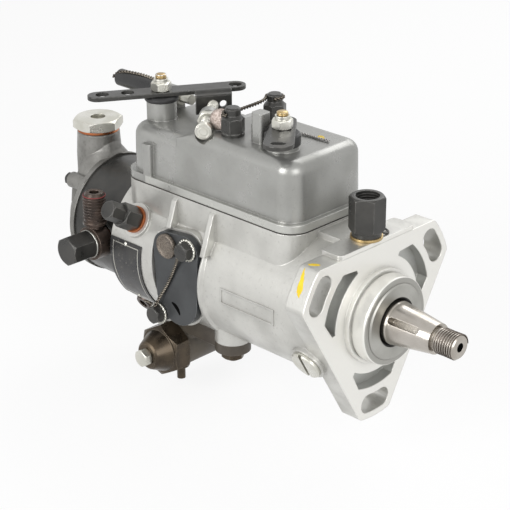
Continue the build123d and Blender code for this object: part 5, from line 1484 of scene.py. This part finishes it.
@dataclass
class CoverFittings:
    """Threads, wires and the lead seal on top of the governor cover.

    Heights in the wires' points count from the cover's top.
    """

    top: float = 83.6
    near_nut: tuple = (-93.3, -15.6)
    far_nut: tuple = (-93.3, 17.4)
    nut_wire_radius: float = 5.3
    near_wire_height: float = 12.6
    far_wire_height: float = 13.9
    wire_from: float = 250.0
    near_sweep: float = -150.0
    far_sweep: float = -300.0
    between_nuts: tuple = ((-93.9, -7.0, 12.9), (-93.8, 2.0, 13.0), (-93.6, 8.5, 13.6))
    link_strand: tuple = (0.55, 4.2)
    tail_points: tuple = ((-99.5, -17.2, 8.5), (-98.4, -18.8, 11.0), (-95.8, -20.6, 12.2),
                          (-93.0, -21.0, 12.5))
    tail_strand: tuple = (0.5, 4.0)
    loose_points: tuple = ((-66.0, 10.1, 0.8), (-60.0, 11.2, 0.8), (-54.0, 10.6, 0.8), (-47.0, 11.6, 0.9))
    loose_strand: tuple = (0.38, 3.4)
    sleeve_points: tuple = ((-216.0, 4.0, 85.0), (-212.0, 5.0, 89.6), (-200.0, 7.5, 90.2),
                            (-188.0, 8.6, 90.1), (-178.0, 6.8, 90.0), (-172.5, 5.4, 89.4))
    sleeve_strand: tuple = (0.55, 4.4)
    seal_profile: tuple = ((0.0, -1.9), (3.4, -2.0), (5.3, -1.7), (6.0, -0.9), (5.5, -0.3), (5.5, 0.3),
                           (6.0, 0.9), (5.3, 1.7), (3.4, 2.0), (0.0, 1.9))
    seal_steps: int = 40
    seal_seed: int = 7
    seal_roughness: float = 0.16
    seal_place: tuple = (-103.4, -15.4, 6.3)
    seal_facing: tuple = (0.35, -0.9, 0.30)
    idle_head: tuple = (-105.4, -26.8, 85.2)
    idle_angle: float = 128.8
    screw_radius: float = 3.0
    screw_pitch: float = 1.0
    screw_depth: float = 0.26
    screw_runs: tuple = ((4.4, 14.0), (28.0, 17.0))
    head_rings: tuple = (2.2, 3.7)
    head_ring_profile: tuple = ((-0.22, -0.2), (-0.22, 0.12), (0.22, 0.12), (0.22, -0.2))
    head_ring_steps: int = 40

    def hoop(self, centre: tuple, height: float, sweep: float) -> list:
        """Return points of a wire that runs round a nut's crown.

        Args:
            centre: the nut's place.
            height: the wire's height above the cover.
            sweep: how far it runs, in degrees.

        Returns:
            The points in order.
        """
        points = []
        for step in range(7):
            angle = math.radians(self.wire_from + sweep * step / 6)
            points.append((centre[0] + self.nut_wire_radius * math.cos(angle),
                           centre[1] + self.nut_wire_radius * math.sin(angle), self.top + height))
        return points

    def wires(self, shop: Workshop) -> None:
        """Twist the locking wire between the cap nuts and the loose ends.

        Args:
            shop: the workshop.
        """
        run = self.hoop(self.near_nut, self.near_wire_height, self.near_sweep)
        run += from_face(self.between_nuts, self.top, 2)
        run += self.hoop(self.far_nut, self.far_wire_height, self.far_sweep)
        link = shop.twisted(run, *self.link_strand)
        tail = shop.twisted(from_face(self.tail_points, self.top, 2), *self.tail_strand)
        loose = shop.twisted(from_face(self.loose_points, self.top, 2), *self.loose_strand)
        sleeve = shop.twisted(self.sleeve_points, *self.sleeve_strand)
        shop.piece("cap_nut_wire", shop.join(link, tail), "pump", "wire")
        shop.piece("loose_wire_end", loose, "pump", "inner_steel")
        shop.piece("sleeve_wire", sleeve, "pump", "wire")

    def seal(self) -> bpy.types.Mesh:
        """Make the rough lead seal that stands beside the idle screw.

        Returns:
            The seal's mesh.
        """
        mesh = lathe(self.seal_profile, self.seal_steps)
        shake = random.Random(self.seal_seed)
        for vertex in mesh.vertices:
            push = Vector((shake.uniform(-1, 1), shake.uniform(-1, 1), shake.uniform(-1, 1)))
            vertex.co += push * self.seal_roughness * MM
        mesh.transform(stand(from_face((self.seal_place,), self.top, 2)[0], self.seal_facing))
        return mesh

    def screws(self, shop: Workshop) -> None:
        """Cut the threads of the idle screw and mark its head.

        Args:
            shop: the workshop.
        """
        angle = math.radians(self.idle_angle)
        along = (math.cos(angle), math.sin(angle), 0.0)
        ridges = [shop.threaded(tuple(Vector(self.idle_head) + Vector(along) * start), along,
                                self.screw_radius, length, self.screw_pitch, self.screw_depth, "zinc_steel")
                  for start, length in self.screw_runs]
        shop.piece("idle_screw_thread", shop.join(*ridges), "pump", "zinc_steel")
        back = tuple(-value for value in along)
        rings = [turned([(radius + reach, height) for reach, height in self.head_ring_profile],
                        self.idle_head, back, self.head_ring_steps) for radius in self.head_rings]
        shop.piece("idle_screw_head_rings", shop.join(*rings), "pump", "zinc_steel")

    def build(self, shop: Workshop) -> None:
        """Make the wires and the screws' details."""
        self.wires(shop)
        self.screws(shop)


@dataclass
class LeverStuds:
    """Threaded stud ends above the two lever nuts."""

    throttle: tuple = (-156.0, -11.2, 101.3)
    stop: tuple = (-58.9, -12.4, 102.3)
    radius: float = 3.0
    length: float = 2.0
    pitch: float = 0.9
    depth: float = 0.24
    cap_profile: tuple = ((0.0, 2.35), (2.5, 2.35), (3.05, 1.9), (3.05, 0.0), (0.0, 0.0))
    cap_steps: int = 32

    def build(self, shop: Workshop) -> None:
        """Make a brass-coloured threaded end on each stud.

        Args:
            shop: the workshop.
        """
        up = Axis.UP.value
        for body, place in (("throttle", self.throttle), ("stop", self.stop)):
            ridge = shop.threaded(place, up, self.radius, self.length, self.pitch, self.depth, "brass")
            cap = turned(self.cap_profile, place, up, self.cap_steps)
            shop.piece(f"{body}_stud_end", shop.join(ridge, cap), body, "brass")


@dataclass
class ThrottleArm:
    """Flat throttle arm with its holes and a bent tab.

    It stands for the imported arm, which is shorter at both ends.
    """

    centre: tuple = (-156.0, -11.2)
    bottom: float = 91.5
    thickness: float = 2.5
    angle: float = 58.0
    half_width: float = 6.0
    rear: float = 42.6
    front: float = 49.6
    holes: tuple = ((-34.1, 3.8), (-19.5, 3.8), (43.4, 3.8), (0.0, 3.05))
    tab_start: float = 18.5
    tab_end: float = 39.5
    tab_drop: float = 12.6
    tab_corner: float = 1.5
    tab_overlap: float = 0.1
    tab_hole: tuple = (34.4, -7.2, 2.1)
    bend_radius: float = 3.4
    bend_inset: float = 0.6
    bend_steps: int = 8

    def bend(self) -> bpy.types.Mesh:
        """Make the rounded fold between the arm and its tab.

        Returns:
            The fold's mesh.
        """
        outer = []
        inner = []
        edge = -self.half_width + self.bend_inset
        for step in range(self.bend_steps + 1):
            angle = math.radians(90 + 90 * step / self.bend_steps)
            for row, radius in ((outer, self.bend_radius), (inner, self.bend_radius - self.thickness)):
                row.append((edge + radius * math.cos(angle),
                            self.thickness / 2 - self.bend_radius + radius * math.sin(angle)))
        section = outer + inner[::-1]
        form = bmesh.new()
        ends = [[form.verts.new(Vector((x, y, z)) * MM) for y, z in section]
                for x in (self.tab_start, self.tab_end)]
        form.faces.new(ends[0])
        form.faces.new(ends[1][::-1])
        bridge(form, ends[0], ends[1])
        return mesh_of(form, "bend")

    def tab(self) -> bpy.types.Mesh:
        """Make the hanging tab with its hole.

        Returns:
            The tab's mesh.
        """
        top = self.thickness / 2 - self.bend_radius + self.tab_overlap
        low = -self.tab_drop
        outline = [(self.tab_start, low), (self.tab_end - self.tab_corner, low),
                   (self.tab_end, low + self.tab_corner), (self.tab_end, top), (self.tab_start, top)]
        mesh = plate(outline, [self.tab_hole], self.thickness)
        middle = -self.half_width + self.bend_inset - self.bend_radius + self.thickness / 2
        upright = Matrix.Rotation(math.radians(90), 4, "X")
        mesh.transform(Matrix.Translation((0.0, middle * MM, 0.0)) @ upright)
        return mesh

    def build(self, shop: Workshop) -> None:
        """Make the arm in one piece with its tab.

        Args:
            shop: the workshop.
        """
        holes = [(x, 0.0, radius) for x, radius in self.holes]
        arm = plate(rounded_bar(-self.rear, self.front, self.half_width), holes, self.thickness)
        whole = shop.join(arm, self.bend(), self.tab())
        place = Matrix.Translation(Vector((*self.centre, self.bottom + self.thickness / 2)) * MM)
        whole.transform(place @ Matrix.Rotation(math.radians(self.angle), 4, "Z"))
        shop.piece("throttle_lever_plate", whole, "throttle", "black_steel", smooth=False,
                   replaces=("throttle_arm",))


@dataclass
class InspectionDress:
    """Crimped washers, wires, seal and the slot's painted shade of the inspection cover.

    The middle number of each wire point counts from the plane in which the wires lie.
    """

    face: float = 42.2
    upper: tuple = (-103.2, 19.8)
    lower: tuple = (-128.4, -27.4)
    washer_profile: tuple = ((4.9, 0.05), (6.15, 0.1), (6.4, 0.75), (6.0, 1.5), (4.9, 1.5))
    washer_steps: int = 60
    washer_wave: float = 0.18
    teeth: int = 20
    tooth_circle: float = 5.9
    tooth_height: float = 1.2
    seal_place: tuple = (-119.7, 17.5)
    seal_radius: float = 7.3
    seal_steps: int = 56
    seal_seed: int = 11
    seal_roughness: float = 0.14
    rough_above: float = 2.0
    wire_lift: float = 3.4
    long_points: tuple = ((-107.0, -1.2, 14.6), (-109.4, 0.6, 12.4), (-112.6, 1.6, 7.0), (-117.0, 2.2, -1.0),
                          (-121.6, 2.2, -9.0), (-126.4, 1.4, -16.6), (-128.6, -0.4, -22.6))
    long_strand: tuple = (0.55, 4.4)
    tail_points: tuple = ((-131.0, -0.4, -21.8), (-134.2, -0.8, -20.4), (-136.4, -0.6, -21.6))
    tail_strand: tuple = (0.36, 2.6)
    knot_points: tuple = ((-112.4, 0.0, 17.6), (-110.2, -0.4, 18.6), (-108.4, -0.8, 19.4))
    knot_strand: tuple = (0.42, 2.6)
    # The slot is a thin black sheet of painted shade, not a cut.
    mark_place: tuple = (-113.9, -19.6)
    mark_turn: float = -42.0
    mark_half_length: float = 4.6
    mark_half_width: float = 1.35
    mark_bow: float = 0.055
    mark_steps: int = 24
    mark_thickness: float = 0.06
    mark_sink: float = 0.01

    def washer(self, shop: Workshop, place: tuple) -> bpy.types.Mesh:
        """Make one crimped washer with its teeth.

        Args:
            shop: the workshop.
            place: X and Z of the screw.

        Returns:
            The washer's mesh.
        """
        ring = lathe(self.washer_profile, self.washer_steps, self.washer_wave, self.teeth)
        teeth = shop.crimp.grow(bpy.data.meshes.new("seed"), Radius=self.tooth_circle * MM,
                                Teeth=self.teeth, Material=shop.materials["zinc_steel"])
        teeth.transform(Matrix.Translation((0.0, 0.0, self.tooth_height * MM)))
        whole = shop.join(ring, teeth)
        whole.transform(stand((place[0], -self.face, place[1]), Axis.NEAR.value))
        return whole

    def seal(self) -> bpy.types.Mesh:
        """Make the pressed lead disc with its raised rim and scratched face.

        Returns:
            The seal's mesh.
        """
        rim = self.seal_radius
        profile = [(0.0, 0.05), (rim - 0.3, 0.05), (rim, 0.5), (rim, 2.2), (rim - 0.6, 2.9),
                   (rim - 1.3, 2.6), (rim - 1.7, 2.2), (3.5, 2.3), (0.0, 2.4)]
        mesh = lathe(profile, self.seal_steps)
        shake = random.Random(self.seal_seed)
        for vertex in mesh.vertices:
            if vertex.co.z > self.rough_above * MM:
                vertex.co.z += shake.uniform(-self.seal_roughness, self.seal_roughness) * MM
        mesh.transform(stand((self.seal_place[0], -self.face, self.seal_place[1]), Axis.NEAR.value))
        return mesh

    def wires(self, shop: Workshop) -> bpy.types.Mesh:
        """Twist the wires from the upper screw past the seal to the lower screw.

        Args:
            shop: the workshop.

        Returns:
            The wires in one mesh.
        """
        out = -self.face - self.wire_lift
        runs = ((self.long_points, self.long_strand), (self.tail_points, self.tail_strand),
                (self.knot_points, self.knot_strand))
        return shop.join(*[shop.twisted(from_face(points, out, 1), *strand) for points, strand in runs])

    def painted_slot_shade(self) -> bpy.types.Mesh:
        """Make the dark slanted slot near the cover's foot, a thin sheet of painted shade.

        Returns:
            The slot's mesh.
        """
        outline = []
        for step in range(self.mark_steps):
            angle = 2 * math.pi * step / self.mark_steps
            x = self.mark_half_length * math.cos(angle)
            y = self.mark_half_width * math.sin(angle) - self.mark_bow * x * x
            outline.append((x, y))
        mesh = slab(outline, self.mark_thickness)
        place = stand((self.mark_place[0], -self.face - self.mark_sink, self.mark_place[1]), Axis.NEAR.value)
        mesh.transform(place @ Matrix.Rotation(math.radians(self.mark_turn), 4, "Z"))
        return mesh

    def build(self, shop: Workshop) -> None:
        """Make the washers and the slot's painted shade.

        Args:
            shop: the workshop.
        """
        washers = shop.join(self.washer(shop, self.upper), self.washer(shop, self.lower))
        shop.piece("crimped_washers", washers, "pump", "zinc_steel")
        # The slot is a thin black sheet of painted shade.
        shop.piece("painted_slot_shade", self.painted_slot_shade(), "pump", "deep_shade", smooth=False)


@dataclass
class DataPlate:
    """Blank data plate with a bright border and its rivets."""

    radius: float = 43.5
    rear: float = -168.4
    front: float = -142.1
    top_angle: float = 12.9
    bottom_angle: float = -41.9
    thickness: float = 0.62
    air: float = 0.03
    border_inset: float = 2.2
    border_width: float = 0.55
    border_sink: float = 0.1
    border_rise: float = 0.05
    long_steps: int = 36
    short_steps: int = 3
    rivet_places: tuple = ((-155.2, 10.6), (-155.2, -39.4))
    rivet_profile: tuple = ((0.0, -0.2), (1.35, -0.2), (1.35, 0.15), (1.0, 0.55), (0.45, 0.75), (0.0, 0.8))
    rivet_steps: int = 24

    def sheet(self, ends: tuple, angles: tuple, radii: tuple, steps: int) -> bpy.types.Mesh:
        """Bend a thin sheet round the barrel.

        Args:
            ends: its rear and front edge.
            angles: angle of its upper and lower edge.
            radii: its inner and outer radius.
            steps: steps round the barrel.

        Returns:
            The closed mesh.
        """
        rear, front = ends
        top, bottom = angles
        inner, outer = radii
        form = bmesh.new()
        rows = []
        for step in range(steps + 1):
            angle = math.radians(180 - (bottom + (top - bottom) * step / steps))
            edge = ((rear, inner), (front, inner), (front, outer), (rear, outer))
            corners = [(along, radius * math.cos(angle), radius * math.sin(angle)) for along, radius in edge]
            rows.append([form.verts.new(Vector(corner) * MM) for corner in corners])
        for first, second in zip(rows, rows[1:]):
            bridge(form, first, second)
        form.faces.new(rows[0])
        form.faces.new(rows[-1][::-1])
        return mesh_of(form, "bent_sheet")

    def border(self, shop: Workshop) -> bpy.types.Mesh:
        """Make the raised frame just inside the plate's edge.

        Args:
            shop: the workshop.

        Returns:
            The frame's mesh.
        """
        surface = self.radius + self.thickness
        radii = (surface - self.border_sink, surface + self.border_rise)
        turn = math.degrees(self.border_inset / self.radius)
        width = math.degrees(self.border_width / self.radius)
        rear = self.rear + self.border_inset
        front = self.front - self.border_inset
        top = self.top_angle - turn
        bottom = self.bottom_angle + turn
        parts = (((rear, front), (top, top - width), self.short_steps),
                 ((rear, front), (bottom + width, bottom), self.short_steps),
                 ((rear, rear + self.border_width), (top, bottom), self.long_steps),
                 ((front - self.border_width, front), (top, bottom), self.long_steps))
        return shop.join(*[self.sheet(ends, angles, radii, steps) for ends, angles, steps in parts])

    def build(self, shop: Workshop) -> None:
        """Make the plate, its border and its rivets.

        Args:
            shop: the workshop.
        """
        reach = self.radius + self.thickness
        bare = self.sheet((self.rear, self.front), (self.top_angle, self.bottom_angle),
                          (self.radius + self.air, reach), self.long_steps)
        shop.piece("blank_data_plate", bare, "pump", "blank_label", smooth=False,
                   replaces=("data_plate",))
        shop.piece("data_plate_border", self.border(shop), "pump", "zinc_steel", smooth=False)
        rivets = []
        for along, angle in self.rivet_places:
            turn = math.radians(180 - angle)
            out = (0.0, math.cos(turn), math.sin(turn))
            rivets.append(turned(self.rivet_profile, (along, out[1] * reach, out[2] * reach), out,
                                 self.rivet_steps))
        shop.piece("data_plate_rivets", shop.join(*rivets), "pump", "zinc_steel")


@dataclass
class PaintMarks:
    """Yellow assembly marks on the flange and on the governor cover.

    Each size is a length and a width, with the seed of its uneven rim.
    """

    flange_dot: tuple = (-7.4, -42.6, 41.0)
    flange_dot_size: tuple = (6.4, 3.0, 3)
    flange_dot_turn: float = 35.0
    cover_dot: tuple = (-55.8, 14.7, 83.6)
    cover_dot_size: tuple = (5.6, 3.4, 4)
    cover_dot_turn: float = -20.0
    streak: tuple = (-7.6, -52.2, 33.9)
    streak_size: tuple = (15.5, 3.0, 5)
    streak_taper: float = 0.55
    streak_turn: float = 12.0

    def build(self, shop: Workshop) -> None:
        """Make the dots and the streak.

        Args:
            shop: the workshop.
        """
        up = Axis.UP.value
        dot = shop.lay(patch(*self.flange_dot_size), stand(self.flange_dot, up, self.flange_dot_turn),
                       "pump_housing")
        cover_dot = shop.lay(patch(*self.cover_dot_size), stand(self.cover_dot, up, self.cover_dot_turn),
                             "governor_cover")
        out = Vector((0.0, self.streak[1], self.streak[2])).normalized()
        along = Vector((0.0, out.z, -out.y))
        place = Matrix((along, out.cross(along), out)).transposed().to_4x4()
        place = Matrix.Translation(Vector(self.streak) * MM) @ place
        place = place @ Matrix.Rotation(math.radians(self.streak_turn), 4, "Z")
        streak = shop.lay(patch(*self.streak_size, self.streak_taper), place, "pump_housing")
        shop.piece("paint_marks", shop.join(dot, cover_dot, streak), "pump", "yellow_paint")


@dataclass
class ReturnDress:
    """Inner thread and dark loop of the return adapter."""

    centre: tuple = (-8.0, -1.0)
    top: float = 67.4
    thread_drop: float = 11.0
    thread_radius: float = 6.6
    thread_length: float = 10.4
    thread_pitch: float = 1.5
    thread_depth: float = 0.4
    loop_profile: tuple = ((2.2, 0.0), (3.4, 0.0), (3.4, 0.7), (2.2, 0.7))
    loop_place: tuple = (-5.6, 9.6, 44.6)
    loop_facing: tuple = (0.35, 0.2, 0.9)
    loop_steps: int = 32

    def build(self, shop: Workshop) -> None:
        """Make the inner thread and the loop that lies on the pad behind the adapter.

        Args:
            shop: the workshop.
        """
        start = (*self.centre, self.top - self.thread_drop)
        ridge = shop.threaded(start, Axis.UP.value, self.thread_radius, self.thread_length,
                              self.thread_pitch, self.thread_depth, "black_steel")
        shop.piece("adapter_inner_thread", ridge, "pump", "black_steel")
        loop = turned(self.loop_profile, self.loop_place, self.loop_facing, self.loop_steps)
        shop.piece("adapter_tag_loop", loop, "pump", "black_steel")


def lead_and_wire(shop: Workshop, cover: CoverFittings, inspection: InspectionDress) -> None:
    """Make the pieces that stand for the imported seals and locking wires.

    Args:
        shop: the workshop.
        cover: the fittings on the governor cover.
        inspection: the fittings on the inspection cover.
    """
    shop.piece("upright_lead_seal", cover.seal(), "pump", "fresh_lead")
    shop.piece("side_lead_seal", inspection.seal(), "pump", "lead", replaces=("lead_seals",))
    shop.piece("inspection_wires", inspection.wires(shop), "pump", "wire",
               replaces=("locking_wires",))


def main() -> None:
    """Build the whole scene in order."""
    logging.basicConfig(level=logging.INFO)
    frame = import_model()
    cad_low, cad_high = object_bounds()
    StudioCamera().build()
    Studio().build(cad_low.z)
    library = ShaderLibrary()
    dresser = Dresser(frame, library)
    dresser.dress()
    shop = Workshop(frame, dresser.materials)
    cover = CoverFittings()
    inspection = InspectionDress()
    for assembly in (ShaftEnd(), Outlets(), cover, LeverStuds(), ThrottleArm(), inspection, DataPlate(),
                     PaintMarks(), ReturnDress()):
        assembly.build(shop)
        LOG.info("built %s", type(assembly).__name__)
    lead_and_wire(shop, cover, inspection)
    bpy.context.scene.view_settings.view_transform = "Standard"


if __name__ == "__main__":
    main()
